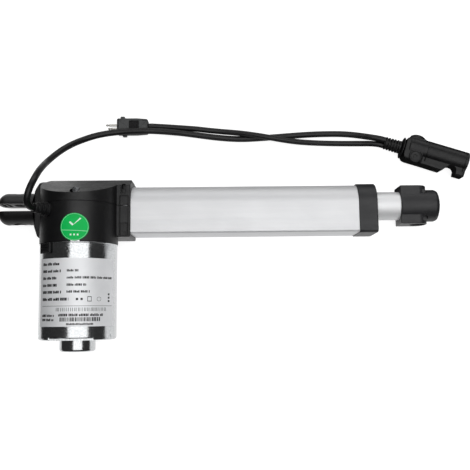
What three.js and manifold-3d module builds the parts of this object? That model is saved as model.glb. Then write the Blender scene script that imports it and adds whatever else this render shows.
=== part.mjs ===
// Linear actuator: right-angle worm gear motor, aluminium housing tube, inner tube with a
// front head, moulded gear housing with a rear fork, and a short two-cord lead.
// Millimetres. +X runs along the spindle to the rod end, the motor hangs off towards -Y,
// +Z is up. The object lies on its side on the plane z = 0.
import * as THREE from "three";
import { mergeVertices } from "three/addons/utils/BufferGeometryUtils.js";
import Module from "manifold-3d";

// ---- driving dimensions -------------------------------------------------------------
const ORIGIN_X = 168.9;        // design X (from the rear pin) of the part's origin
const ORIGIN_Y = -47.0;        // design Y (from the spindle axis) of the part's origin
const GAP = 0.3;               // running or assembly gap between neighbouring pieces
const RETRACTED = 338;         // pin to pin, retracted
const STROKE = 153;            // travel of the rod
const SPINDLE_Z = 17.5;        // height of the spindle axis above the floor
const WORM_OFFSET = 14.2;      // spindle axis to motor axis
const MOTOR_X = 53.3;          // motor axis, from the rear pin
const MOTOR_Z = SPINDLE_Z + WORM_OFFSET;
const CAN_R = 31.1;            // motor can outside radius
const CAN_WALL = 1.5;
const HOUSING_R = 31.7;        // gear housing drum radius
const HOUSING_TOP = 24.8;      // drum end face, on the far side from the motor
const HOUSING_RIM = -32.2;     // drum rim, where the can starts
const CAN_END = -109.4;
const BOSS_END = -118.8;
const BOSS_R = 14.3;
const FORK_R = 13.5;
const FORK_SLOT = 6.4;
const PIN_D = 10;
const FORK_TIP = -17.2;
const FORK_ROOT = 13.7;
const FLANGE_X0 = 79;
const FLANGE_X1 = 95.8;
const FLANGE_Z = 36.5;
const TUBE_X0 = 90;
const TUBE_X1 = 285.2;
const TUBE_R = 16.9;           // half height of the tube, radius of its round side
const TUBE_TOP = 18.0;
const TUBE_BOTTOM = -23.5;
const TUBE_WALL = 2.0;
const CAP_X1 = 301.2;
const ROD_R = 12;              // inner tube
const ROD_WALL = 2.0;
const ROD_X0 = 108;
const HEAD_X0 = 322;
const HEAD_X1 = 355;
const HEAD_R = 13.6;
const EAR_Y = 16.3;
const EAR_R = 10.4;
const EAR_END = 8.2;           // reach of the ears past the pin side
const WHEEL_R = 10.2;
const WHEEL_TEETH = 22;
const WORM_R = 3.6;
const CORD_A_D = 5.3;
const CORD_B_D = 4.9;

const wasm = await Module();
wasm.setup();

// ---- mesh helpers -------------------------------------------------------------------
function toManifold(geometry) {
  const g = new THREE.BufferGeometry();
  g.setAttribute("position", geometry.getAttribute("position").clone());
  if (geometry.index) g.setIndex(geometry.index.clone());
  const m = mergeVertices(g, 1e-4);
  const idx = m.index.array, keep = [];
  for (let i = 0; i < idx.length; i += 3) {
    const [a, b, c] = [idx[i], idx[i + 1], idx[i + 2]];
    if (a !== b && b !== c && a !== c) keep.push(a, b, c);
  }
  const p = m.getAttribute("position").array;
  let vol = 0;
  for (let i = 0; i < keep.length; i += 3) {
    const [a, b, c] = [keep[i] * 3, keep[i + 1] * 3, keep[i + 2] * 3];
    vol += p[a] * (p[b + 1] * p[c + 2] - p[b + 2] * p[c + 1])
      - p[a + 1] * (p[b] * p[c + 2] - p[b + 2] * p[c])
      + p[a + 2] * (p[b] * p[c + 1] - p[b + 1] * p[c]);
  }
  if (vol < 0) for (let i = 0; i < keep.length; i += 3) [keep[i + 1], keep[i + 2]] = [keep[i + 2], keep[i + 1]];
  return new wasm.Manifold(new wasm.Mesh({
    numProp: 3, vertProperties: new Float32Array(p), triVerts: new Uint32Array(keep),
  }));
}
const join = (...s) => s.reduce((a, b) => a.add(b));
const cut = (a, ...s) => s.reduce((x, y) => x.subtract(y), a);

// extrude a closed outline [[u, v], ...] along an axis: X takes (y, z), Y takes (x, z), Z takes (x, y)
function prism(axis, outline, from, to) {
  const shape = new THREE.Shape(outline.map(([u, v]) => new THREE.Vector2(u, v)));
  const g = new THREE.ExtrudeGeometry(shape, { depth: to - from, bevelEnabled: false, steps: 1 });
  const p = g.getAttribute("position");
  for (let i = 0; i < p.count; i++) {
    const u = p.getX(i), v = p.getY(i), w = p.getZ(i) + from;
    if (axis === "X") p.setXYZ(i, w, u, v);
    else if (axis === "Y") p.setXYZ(i, u, w, v);
    else p.setXYZ(i, u, v, w);
  }
  return toManifold(g);
}
const box = (x0, x1, y0, y1, z0, z1) => prism("Z", [[x0, y0], [x1, y0], [x1, y1], [x0, y1]], z0, z1);

// turn a profile [[r, a], ...] about a line through (c1, c2) along an axis; r 0 closes on the axis
function turn(axis, profile, c1, c2, seg = 32, closed = false) {
  const pos = [], rings = [];
  for (const [r, a] of profile) {
    const ring = [];
    for (let k = 0; k < (r < 1e-6 ? 1 : seg); k++) {
      const t = ((k + 0.5) / seg) * Math.PI * 2, u = r * Math.cos(t), v = r * Math.sin(t);
      ring.push(pos.length / 3);
      if (axis === "X") pos.push(a, c1 + u, c2 + v);
      else if (axis === "Y") pos.push(c1 + u, a, c2 + v);
      else pos.push(c1 + u, c2 + v, a);
    }
    rings.push(ring);
  }
  const tri = [];
  const n = rings.length;
  for (let i = 0; i < (closed ? n : n - 1); i++) {
    const A = rings[i], B = rings[(i + 1) % n];
    for (let k = 0; k < seg; k++) {
      const a = A[k % A.length], a2 = A[(k + 1) % A.length], b = B[k % B.length], b2 = B[(k + 1) % B.length];
      if (A.length > 1 && a !== a2) tri.push(a, a2, B.length > 1 ? b2 : b);
      if (B.length > 1 && b !== b2) tri.push(a, b2, b);
    }
  }
  const g = new THREE.BufferGeometry();
  g.setAttribute("position", new THREE.BufferAttribute(new Float32Array(pos), 3));
  g.setIndex(tri);
  return toManifold(g);
}
const rod = (axis, r, a0, a1, c1, c2, seg = 32) => turn(axis, [[0, a0], [r, a0], [r, a1], [0, a1]], c1, c2, seg);
const ring = (axis, ro, ri, a0, a1, c1, c2, seg = 32) =>
  turn(axis, [[ri, a0], [ro, a0], [ro, a1], [ri, a1]], c1, c2, seg, true);

// an arch outline in (y, z): a round side towards +Y about z = SPINDLE_Z, a flat side at y = bottom
function archOutline(half, top, bottom, corner, seg = 16) {
  const cy = top - half, pts = [];
  for (let i = 0; i <= seg; i++) {
    const t = -Math.PI / 2 + (Math.PI * i) / seg;
    pts.push([cy + half * Math.cos(t), SPINDLE_Z + half * Math.sin(t)]);
  }
  for (let i = 0; i <= 3; i++) {
    const t = Math.PI / 2 + (Math.PI / 2 * i) / 3;
    pts.push([bottom + corner + corner * Math.cos(t), SPINDLE_Z + half - corner + corner * Math.sin(t)]);
  }
  for (let i = 0; i <= 3; i++) {
    const t = Math.PI + (Math.PI / 2 * i) / 3;
    pts.push([bottom + corner + corner * Math.cos(t), SPINDLE_Z - half + corner + corner * Math.sin(t)]);
  }
  return pts;
}
function roundedBox(u0, u1, v0, v1, r, seg = 3) {
  const pts = [];
  for (const [cu, cv, t0] of [[u1 - r, v0 + r, -90], [u1 - r, v1 - r, 0], [u0 + r, v1 - r, 90], [u0 + r, v0 + r, 180]])
    for (let i = 0; i <= seg; i++) {
      const t = ((t0 + (90 * i) / seg) * Math.PI) / 180;
      pts.push([cu + r * Math.cos(t), cv + r * Math.sin(t)]);
    }
  return pts;
}
// a round tube along a curve through points
function sweep(points, d, steps, sides = 10) {
  const curve = new THREE.CatmullRomCurve3(points.map((p) => new THREE.Vector3(...p)), false, "centripetal");
  curve.arcLengthDivisions = 600;
  const shape = new THREE.Shape();
  for (let i = 0; i < sides; i++) {
    const t = (i / sides) * Math.PI * 2;
    if (i) shape.lineTo((d / 2) * Math.cos(t), (d / 2) * Math.sin(t));
    else shape.moveTo(d / 2, 0);
  }
  shape.closePath();
  return toManifold(new THREE.ExtrudeGeometry(shape, { steps, extrudePath: curve, bevelEnabled: false }));
}

// ---- assembly -----------------------------------------------------------------------
const group = new THREE.Group();
group.name = "linear_actuator";
function node(name, solid, colour, metalness = 0, roughness = 0.6) {
  const m = solid.getMesh();
  const g = new THREE.BufferGeometry();
  const src = m.vertProperties, n = m.numProp, pos = new Float32Array((src.length / n) * 3);
  for (let i = 0; i < src.length / n; i++) {
    pos[i * 3] = src[i * n] - ORIGIN_X;
    pos[i * 3 + 1] = src[i * n + 1] - ORIGIN_Y;
    pos[i * 3 + 2] = src[i * n + 2];
  }
  g.setAttribute("position", new THREE.BufferAttribute(pos, 3));
  g.setIndex(new THREE.BufferAttribute(new Uint32Array(m.triVerts), 1));
  g.computeVertexNormals();
  const mesh = new THREE.Mesh(g, new THREE.MeshStandardMaterial({ color: colour, metalness, roughness, name }));
  mesh.name = name;
  group.add(mesh);
}
const BLACK = 0x18191b, DARK = 0x232427, ALU = 0xc9ccd0, ZINC = 0xb4b8bb, STEEL = 0x9a9ea2, POM = 0xe9e7de;

const SHELL_SCREWS = [[28, 22.5, 9], [54, HOUSING_TOP, 8], [83, HOUSING_TOP, 9]];

// ---- gear housing, split on the spindle plane y = 0 ----------------------------------
const drum = rod("Y", HOUSING_R, HOUSING_RIM, HOUSING_TOP, MOTOR_X, MOTOR_Z, 52);
const shoulder = prism("X", [[HOUSING_RIM, 0], [HOUSING_TOP - 1.5, 0], [HOUSING_TOP, 1.5], [HOUSING_TOP, 17], [6.6, 63],
  [6, 70], [HOUSING_RIM, 70]], -5, 120);
const rearPlate = prism("Z", [[14.4, 13.5], [14.4, -16], [17.1, -24.2], [19.6, -26.3], [40, -26.3], [40, 22.5], [19.5, 22.5],
  [16, 17]], 1.2, 28);
const flange = join(
  prism("X", [[-26.3, 1.5], [-25.3, 0.5], [HOUSING_TOP - 1, 0.5], [HOUSING_TOP, 1.5], [HOUSING_TOP, FLANGE_Z], [-25.6, FLANGE_Z],
    [-26.3, FLANGE_Z - 0.7]], 70, FLANGE_X1 - 2.4),
  prism("X", [[-26.3, 1.5], [-25.3, 0.5], [HOUSING_TOP - 3.4, 0.5], [HOUSING_TOP - 2.4, 1.5], [HOUSING_TOP - 2.4, FLANGE_Z],
    [-25.6, FLANGE_Z], [-26.3, FLANGE_Z - 0.7]], FLANGE_X1 - 2.5, FLANGE_X1));
let housing = join(drum, rearPlate, flange).intersect(shoulder);
housing = cut(housing,
  // motor pilot and brush space, worm bore
  rod("Y", 28.6, HOUSING_RIM - 1, -22, MOTOR_X, MOTOR_Z, 40),
  rod("Y", 6.4, -24, 11, MOTOR_X, MOTOR_Z, 20),
  rod("Y", 5.2, 10, 15.6, MOTOR_X, MOTOR_Z, 20),
  // worm wheel space, spindle bore, bearing seat and rear clevis seat
  rod("X", 12, 43, 64, 0, SPINDLE_Z, 24),
  rod("X", 11.3, 63.5, 73, 0, SPINDLE_Z, 24),
  rod("X", 8.2, 30, 97, 0, SPINDLE_Z, 24),
  rod("X", 9.3, 13, 36, 0, SPINDLE_Z, 24),
  rod("X", 11.3, 22, 28, 0, SPINDLE_Z, 24),
  // socket for the outer tube and the wire way beside the spindle
  prism("X", archOutline(TUBE_R + GAP, TUBE_TOP + GAP, TUBE_BOTTOM - GAP, 2), TUBE_X0 - GAP, 97),
  box(74, 92, -21, -10, 11, 24),
  rod("Y", 4, -24, -10, 77, SPINDLE_Z, 16),
  // channel, deeper pocket and screw slot in the top of the flange
  box(87.3, 93.8, -25.0, 8, 35.2, 40),
  box(87.3, 93.8, -25.0, -15, 34.75, 40),
  prism("Z", roundedBox(88.5, 91.8, 9.6, 18.6, 1.6), 32.7, 50),
  // upright screw recess in the sloping face
  rod("Z", 3.75, 49, 80, 54, 10, 20),
  // screws that hold the two halves together
  ...SHELL_SCREWS.map(([x, y, z]) => rod("Y", 3.4, y - 3, y + 2, x, z, 14)),
  // vent slit in the drum end face, gap beside the can tab, boot bore
  box(43.5, 48.5, HOUSING_TOP - 0.9, HOUSING_TOP + 2, 22, 26),
  box(52.8, 60.4, HOUSING_RIM - 1, HOUSING_RIM + 1.7, 55, 70),
);
// radial bore for the cord boot
const BOOT_T = (-41 * Math.PI) / 180, BOOT_Y = -6;
const bootPoint = (r, y = BOOT_Y) => [MOTOR_X + r * Math.sin(BOOT_T), y, MOTOR_Z + r * Math.cos(BOOT_T)];
function radial(profile, seg = 24, closed = false) {
  // profile [[r, along]] turned about the boot's own axis, along = distance from the motor axis
  const m = turn("Z", profile, 0, 0, seg, closed);
  const rot = new THREE.Matrix4().makeRotationY(BOOT_T).setPosition(MOTOR_X, BOOT_Y, MOTOR_Z);
  return m.transform(rot.elements);
}
housing = cut(housing, radial([[0, 22], [3.4, 22], [3.4, 40], [0, 40]]));
housing = cut(housing, radial([[0, 29.2], [6.2, 29.2], [6.2, 40], [0, 40]]));
const upperHalf = box(-10, 130, GAP / 2, 60, -5, 90), lowerHalf = box(-10, 130, -60, -GAP / 2, -5, 90);
node("upper_gear_housing", housing.intersect(upperHalf), BLACK);
node("lower_gear_housing", housing.intersect(lowerHalf), BLACK);

// ---- rear fork ----------------------------------------------------------------------
{
  const prof = [[0, FORK_TIP], [5.5, FORK_TIP]];
  for (let i = 1; i <= 4; i++) {
    const t = (Math.PI / 2) * (i / 4);
    prof.push([5.5 + 8 * Math.sin(t), FORK_TIP + 8 - 8 * Math.cos(t)]);
  }
  prof.push([FORK_R, FORK_ROOT], [9, FORK_ROOT], [9, 22.4], [11, 22.4], [11, 27.6], [9, 27.6], [9, 35.5], [0, 35.5]);
  let fork = turn("X", prof, 0, SPINDLE_Z, 28);
  fork = cut(fork,
    box(FORK_TIP - 1, 12.4, -FORK_SLOT / 2, FORK_SLOT / 2, -5, 40),
    rod("Y", PIN_D / 2, -20, 20, 0, SPINDLE_Z, 24),
    rod("X", 4.4, 31, 40, 0, SPINDLE_Z, 16));
  // flats where the fork's outer faces take a bracket
  fork = cut(fork, box(-9, 9, FORK_R - 0.5, 20, 5, 30), box(-9, 9, -20, -(FORK_R - 0.5), 5, 30));
  node("rear_fork", fork, BLACK);
}

// ---- outer tube, cap and guide --------------------------------------------------------
node("outer_tube", cut(
  prism("X", archOutline(TUBE_R, TUBE_TOP, TUBE_BOTTOM, 2), TUBE_X0, TUBE_X1 + 8),
  prism("X", archOutline(TUBE_R - TUBE_WALL, TUBE_TOP - TUBE_WALL, TUBE_BOTTOM + TUBE_WALL, 1), TUBE_X0 - 1, TUBE_X1 + 9)),
ALU, 0.9, 0.35);
{
  const body = join(
    prism("X", archOutline(SPINDLE_Z, 19.2, -24.2, 2.6), TUBE_X1, CAP_X1 - 0.8),
    prism("X", archOutline(SPINDLE_Z - 0.8, 18.4, -23.4, 2.4), CAP_X1 - 1, CAP_X1));
  node("end_cap", cut(body,
    prism("X", archOutline(TUBE_R + GAP, TUBE_TOP + GAP, TUBE_BOTTOM - GAP, 2), TUBE_X1 - 1, TUBE_X1 + 8.3),
    rod("X", 15.2, TUBE_X1, CAP_X1 - 1.6, 0, SPINDLE_Z, 28),
    rod("X", 12.7, TUBE_X1, CAP_X1 + 1, 0, SPINDLE_Z, 28),
    rod("X", 1.6, TUBE_X1, CAP_X1 + 1, -19.6, 28, 12), rod("X", 1.6, TUBE_X1, CAP_X1 + 1, -19.6, 7, 12)),
  DARK);
}
node("rod_guide", turn("X", [[ROD_R + GAP, 278], [14.5, 278], [14.5, 293.4], [14.9, 293.8], [14.9, CAP_X1 - 2], [ROD_R + GAP, CAP_X1 - 2]],
  0, SPINDLE_Z, 28, true), POM);
for (const [i, z] of [[1, 28], [2, 7]])
  node(`cap_screw_${i}`, turn("X", [[0, TUBE_X1 + 9], [1.3, TUBE_X1 + 9], [1.3, CAP_X1 + 0.2], [2.8, CAP_X1 + 0.2],
    [2.6, CAP_X1 + 0.9], [0, CAP_X1 + 1.3]], -19.6, z, 12), STEEL, 0.9, 0.3);

// ---- moving rod -----------------------------------------------------------------------
node("inner_tube", ring("X", ROD_R, ROD_R - ROD_WALL, ROD_X0 + 8.3, HEAD_X0 + 12, 0, SPINDLE_Z, 32), ALU, 0.9, 0.3);
{
  const r = HEAD_X1;
  let head = turn("X", [[0, HEAD_X0], [HEAD_R - 0.4, HEAD_X0], [HEAD_R, HEAD_X0 + 0.6], [HEAD_R, r - 3.2], [HEAD_R - 0.9, r - 0.9],
    [HEAD_R - 3.2, r], [0, r]], 0, SPINDLE_Z, 32);
  // ears either side for the pin: square at the tube side, round at the far side
  const ear = [[HEAD_X0, SPINDLE_Z - EAR_R], [RETRACTED - 0.6, SPINDLE_Z - EAR_R]];
  for (let i = 0; i <= 10; i++) {
    const t = -Math.PI / 2 + (Math.PI * i) / 10;
    ear.push([RETRACTED - 0.6 + EAR_END * Math.cos(t), SPINDLE_Z + EAR_R * Math.sin(t)]);
  }
  ear.push([HEAD_X0, SPINDLE_Z + EAR_R]);
  head = join(head, prism("Y", ear, -EAR_Y, EAR_Y));
  head = cut(head,
    rod("X", ROD_R + GAP, HEAD_X0 - 1, HEAD_X0 + 12.3, 0, SPINDLE_Z, 32),
    rod("Y", PIN_D / 2, -20, 20, RETRACTED, SPINDLE_Z, 24),
    turn("Y", [[0, -EAR_Y - 1], [7.0, -EAR_Y - 1], [5, -EAR_Y + 1.0], [0, -EAR_Y + 1.0]], RETRACTED, SPINDLE_Z, 24),
    turn("Y", [[0, EAR_Y + 1], [7.0, EAR_Y + 1], [5, EAR_Y - 1.0], [0, EAR_Y - 1.0]], RETRACTED, SPINDLE_Z, 24));
  node("rod_head", head, DARK);
}
node("spindle_nut", cut(turn("X", [[0, ROD_X0 - 6], [11.6, ROD_X0 - 6], [11.6, ROD_X0 + 8], [ROD_R - ROD_WALL - GAP, ROD_X0 + 8],
  [ROD_R - ROD_WALL - GAP, ROD_X0 + 26], [0, ROD_X0 + 26]], 0, SPINDLE_Z, 28),
rod("X", 6.3, ROD_X0 - 7, ROD_X0 + 30, 0, SPINDLE_Z, 24)), POM);

// ---- spindle group ----------------------------------------------------------------------
node("lead_screw", turn("X", [[0, 37], [4, 37], [4, 44.5], [5, 44.5], [5, 74], [6, 74], [6, 288],
  [3, 288], [3, 296], [0, 296]], 0, SPINDLE_Z, 16), STEEL, 0.9, 0.3);
node("spindle_stop", ring("X", 8.6, 3.3, 289.5, 293.5, 0, SPINDLE_Z, 20), STEEL, 0.9, 0.4);
{
  const pts = [];
  for (let i = 0; i < WHEEL_TEETH; i++)
    for (const [f, r] of [[0, WHEEL_R - 2.1], [0.28, WHEEL_R - 2.1], [0.42, WHEEL_R], [0.6, WHEEL_R], [0.74, WHEEL_R - 2.1]]) {
      if (f === 0) continue;
      const t = ((i + f) / WHEEL_TEETH) * Math.PI * 2;
      pts.push([r * Math.cos(t), SPINDLE_Z + r * Math.sin(t)]);
    }
  node("worm_wheel", cut(prism("X", pts, 47.3, 59.3), rod("X", 5.3, 45, 62, 0, SPINDLE_Z, 20)), POM);
}
node("spindle_bearing", ring("X", 11, 5.3, 64, 72.6, 0, SPINDLE_Z, 28), STEEL, 0.9, 0.3);

// ---- motor ------------------------------------------------------------------------------
{
  const o = CAN_R, i = CAN_R - CAN_WALL;
  let can = turn("Y", [[i, HOUSING_RIM - GAP], [o, HOUSING_RIM - GAP], [o, CAN_END + 1.6], [o - 0.5, CAN_END + 0.5], [o - 1.5, CAN_END],
    [16.2, CAN_END], [16.2, CAN_END + 1.5], [i, CAN_END + 1.5]], MOTOR_X, MOTOR_Z, 44, true);
  const tab = cut(rod("Y", o, HOUSING_RIM - 2, HOUSING_RIM + 1.4, MOTOR_X, MOTOR_Z, 44),
    rod("Y", i, HOUSING_RIM - 3, HOUSING_RIM + 3, MOTOR_X, MOTOR_Z, 44)).intersect(box(53.2, 60, -50, 0, 40, 80));
  can = join(can, tab);
  // the far end of the can is cut back over the bearing plate, top and underside
  can = cut(can, box(MOTOR_X - 17.6, MOTOR_X + 17.6, CAN_END - 1, CAN_END + 2.4, MOTOR_Z + 24, 80),
    box(MOTOR_X - 17.6, MOTOR_X + 17.6, CAN_END - 1, CAN_END + 2.4, -10, MOTOR_Z - 24),
    // window for the brush terminal
    radialBox(-41, 25.5, 40, -40.6, -33.2, 5.6));
  node("motor_can", can, ZINC, 0.95, 0.25);
}
function radialBox(deg, r0, r1, y0, y1, half) {
  const rot = new THREE.Matrix4().makeRotationY((deg * Math.PI) / 180).setPosition(MOTOR_X, 0, MOTOR_Z);
  return box(-half, half, y0, y1, r0, r1).transform(rot.elements);
}
node("motor_bearing_cup", turn("Y", [[0, CAN_END + 2.2], [20, CAN_END + 2.2], [20, CAN_END + 3.4], [9, CAN_END + 3.4],
  [9, BOSS_END + 2], [0, BOSS_END + 2]].slice(1, 5).concat([[0, BOSS_END + 2], [0, BOSS_END], [BOSS_R - 1.6, BOSS_END],
  [BOSS_R - 0.4, BOSS_END + 0.5], [BOSS_R, BOSS_END + 1.7], [BOSS_R, CAN_END + 2.2]]), MOTOR_X, MOTOR_Z, 28, true), ZINC, 0.95, 0.25);
node("motor_rear_bearing", ring("Y", 8.7, 4.3, -116.4, -109, MOTOR_X, MOTOR_Z, 16), STEEL, 0.9, 0.3);
for (const [name, a] of [["magnet_left", 180], ["magnet_right", 0]]) {
  const arc = [];
  for (let i = 0; i <= 12; i++) { const t = ((a - 62 + (124 * i) / 12) * Math.PI) / 180; arc.push([MOTOR_X + 29.2 * Math.cos(t), MOTOR_Z + 29.2 * Math.sin(t)]); }
  for (let i = 12; i >= 0; i--) { const t = ((a - 62 + (124 * i) / 12) * Math.PI) / 180; arc.push([MOTOR_X + 22.6 * Math.cos(t), MOTOR_Z + 22.6 * Math.sin(t)]); }
  node(name, prism("Y", arc, -98, -52), 0x2d2d2f, 0.3, 0.7);
}
node("motor_shaft", turn("Y", [[0, -116], [4, -116], [4, -13], [2.2, -12.5], [2.2, 15], [0, 15]], MOTOR_X, MOTOR_Z, 16), STEEL, 0.95, 0.2);
{
  const pts = [];
  for (let i = 0; i < 12; i++)
    for (const [f, r] of [[0.1, 21.8], [0.44, 21.8], [0.78, 21.8], [0.72, 19.8], [0.72, 14], [0.97, 14], [0.97, 19.8]]) {
      const t = ((i + f) / 12) * Math.PI * 2;
      pts.push([MOTOR_X + r * Math.cos(t), MOTOR_Z + r * Math.sin(t)]);
    }
  node("armature_core", cut(prism("Y", pts, -96, -54), rod("Y", 4.3, -100, -50, MOTOR_X, MOTOR_Z, 20)), 0x6b4a2c, 0.5, 0.5);
}
node("commutator", ring("Y", 9.5, 4.3, -48, -36, MOTOR_X, MOTOR_Z, 16), 0xb5713a, 0.9, 0.35);
// worm: a single-start thread on the motor shaft, crests just clear of the wheel's teeth
node("worm", (() => {
  const seg = 12, y0 = -10.5, y1 = 10.5, lead = 4.2, n = 30, pos = [], tri = [], RI = 2.5;
  const rows = [];
  for (let j = 0; j <= n; j++) {
    const y = y0 + ((y1 - y0) * j) / n, row = [];
    for (let k = 0; k < seg; k++) {
      const t = (k / seg) * Math.PI * 2;
      const ph = (((y / lead - k / seg) % 1) + 1) % 1;
      const tooth = Math.max(0, Math.min(1, 1.9 - Math.abs(ph - 0.5) * 5.6)) * (j > 1 && j < n - 1 ? 1 : 0);
      const r = 2.9 + (WORM_R - 2.9) * tooth;
      row.push(pos.length / 3);
      pos.push(MOTOR_X + r * Math.cos(t), y, MOTOR_Z + r * Math.sin(t));
    }
    rows.push(row);
  }
  const inner = [y0, y1].map((y) => {
    const row = [];
    for (let k = 0; k < seg; k++) {
      const t = (k / seg) * Math.PI * 2;
      row.push(pos.length / 3);
      pos.push(MOTOR_X + RI * Math.cos(t), y, MOTOR_Z + RI * Math.sin(t));
    }
    return row;
  });
  const strip = (A, B) => { for (let k = 0; k < seg; k++) { const l = (k + 1) % seg; tri.push(A[k], A[l], B[l], A[k], B[l], B[k]); } };
  for (let j = 0; j < n; j++) strip(rows[j], rows[j + 1]);
  strip(rows[n], inner[1]); strip(inner[1], inner[0]); strip(inner[0], rows[0]);
  const g = new THREE.BufferGeometry();
  g.setAttribute("position", new THREE.BufferAttribute(new Float32Array(pos), 3));
  g.setIndex(tri);
  return toManifold(g);
})(), STEEL, 0.9, 0.25);
node("worm_end_bearing", ring("Y", 4.95, 2.5, 11.3, 15, MOTOR_X, MOTOR_Z, 16), 0xa98b4a, 0.9, 0.4);
node("motor_front_bearing", ring("Y", 6.1, 4.25, -20, -13, MOTOR_X, MOTOR_Z, 16), 0xa98b4a, 0.9, 0.4);
node("brush_card", cut(rod("Y", 28.3, -33.8, -31.8, MOTOR_X, MOTOR_Z, 32), rod("Y", 11, -36, -30, MOTOR_X, MOTOR_Z, 16)), 0x1c1c1e);
for (const [name, s] of [["brush_left", -1], ["brush_right", 1]])
  node(name, box(MOTOR_X + s * 13.7 - 3.6, MOTOR_X + s * 13.7 + 3.6, -46, -34.1, MOTOR_Z - 3, MOTOR_Z + 3), 0x2a2a2c, 0.2, 0.6);
node("brush_terminal", join(radialBox(-41, 28.9, 31.6, -40.2, -33.6, 5.2), radialBox(-41, 31.4, 33.2, -41.2, -32.6, 6.2)), BLACK);

// ---- limit switch strip inside the outer tube ---------------------------------------------
node("limit_switch_board", box(97, 276, -20.9, -19.4, 11, 24), 0x2f6b3c);
node("limit_switch_in", box(99, 112, -19.1, -13.4, 14, 21), 0x1d1d1f);
node("limit_switch_out", box(258, 271, -19.1, -13.4, 14, 21), 0x1d1d1f);

// ---- screws ---------------------------------------------------------------------------------
SHELL_SCREWS.forEach(([x, y, z], i) =>
  node(`shell_screw_${i + 1}`, turn("Y", [[0, y - 2.7], [3, y - 2.7], [3, y - 1.1], [2.3, y - 0.5], [0, y - 0.3]], x, z, 14), STEEL, 0.9, 0.3));
node("housing_screw", turn("Z", [[0, 49.3], [3.3, 49.3], [3.3, 51.4], [2.4, 52.3], [0, 52.3]], 54, 10, 16), STEEL, 0.9, 0.3);

// ---- labels ---------------------------------------------------------------------------------
{
  const shell = (r0, r1, y0, y1, a, b) => {
    const pts = [];
    for (let i = 0; i <= 16; i++) { const t = ((90 + a - ((a + b) * i) / 16) * Math.PI) / 180; pts.push([MOTOR_X + r1 * Math.cos(t), MOTOR_Z + r1 * Math.sin(t)]); }
    for (let i = 16; i >= 0; i--) { const t = ((90 + a - ((a + b) * i) / 16) * Math.PI) / 180; pts.push([MOTOR_X + r0 * Math.cos(t), MOTOR_Z + r0 * Math.sin(t)]); }
    return prism("Y", pts, y0, y1);
  };
  node("rating_label", shell(CAN_R + 0.15, CAN_R + 0.4, -98.6, -45.4, 58, 64), 0xd7d8da, 0.4, 0.45);
  node("inspection_sticker", shell(HOUSING_R + 0.12, HOUSING_R + 0.35, -40, 0, 30, 30).intersect(rod("Z", 10.9, 40, 80, 56.1, -21.1, 28)), 0x19b64b);
}

// ---- cord boot --------------------------------------------------------------------------------
{
  const p = [[0, 29.6], [5.8, 29.6], [5.8, 33.2], [4.4, 33.6], [4.4, 34.8], [5.3, 35.1], [5.3, 36.9], [3.9, 37.3], [3.9, 38.4],
    [4.6, 38.7], [4.6, 40.3], [3.4, 40.7], [3.4, 41.6], [3.9, 42], [3.7, 43.8], [0, 43.8]];
  node("cable_boot", radial(p, 14), BLACK, 0, 0.7);
}

// ---- two-pin plug on its own short cord --------------------------------------------------------
{
  const x0 = 79.6, x1 = 106.9, yc = 74.9, zc = 5.1;
  const outline = [[x0, yc - 6.0], [x0 + 1, yc - 6.9], [97, yc - 6.9], [x1 - 1, yc - 6.2], [x1, yc - 5.2], [x1, yc + 5.2],
    [x1 - 1, yc + 6.2], [97, yc + 6.9], [x0 + 1, yc + 6.9], [x0, yc + 6.0]];
  let plug = join(prism("Z", outline, 0.2, 9.8),
    prism("Z", roundedBox(82.6, 86.4, yc + 5, yc + 9.0, 0.8), 2.6, 7.4), prism("Z", roundedBox(84.4, 88.2, yc - 8.9, yc - 5, 0.8), 2.6, 7.4));
  plug = plug.intersect(prism("X", roundedBox(yc - 9.5, yc + 9.5, 0.2, 9.8, 1.6), x0 - 1, x1 + 1));
  const ribs = [];
  for (let i = 0; i < 4; i++) ribs.push(box(91 + i * 1.9, 92 + i * 1.9, yc - 2.6, yc + 3.9, 8.9, 11));
  plug = cut(plug, ...ribs,
    rod("X", 1.3, x0 - 1, x0 + 4, yc + 1.6, zc, 14), rod("X", 1.3, x0 - 1, x0 + 4, yc - 1.6, zc, 14),
    rod("X", CORD_B_D / 2 - 0.2, x1 - 1.2, x1 + 1, yc + 0.6, zc - 0.2, 16));
  node("plug_body", plug, BLACK);
  for (const [i, y, tip] of [[1, yc + 1.6, 69.7], [2, yc - 1.6, 71.5]])
    node(`plug_pin_${i}`, turn("X", [[0, tip], [0.7, tip + 0.2], [1, tip + 1], [0.7, tip + 2], [1, tip + 2.8], [1, x0 + 3.6], [0, x0 + 3.6]], y, zc, 14),
      ZINC, 0.95, 0.2);
}

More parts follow.
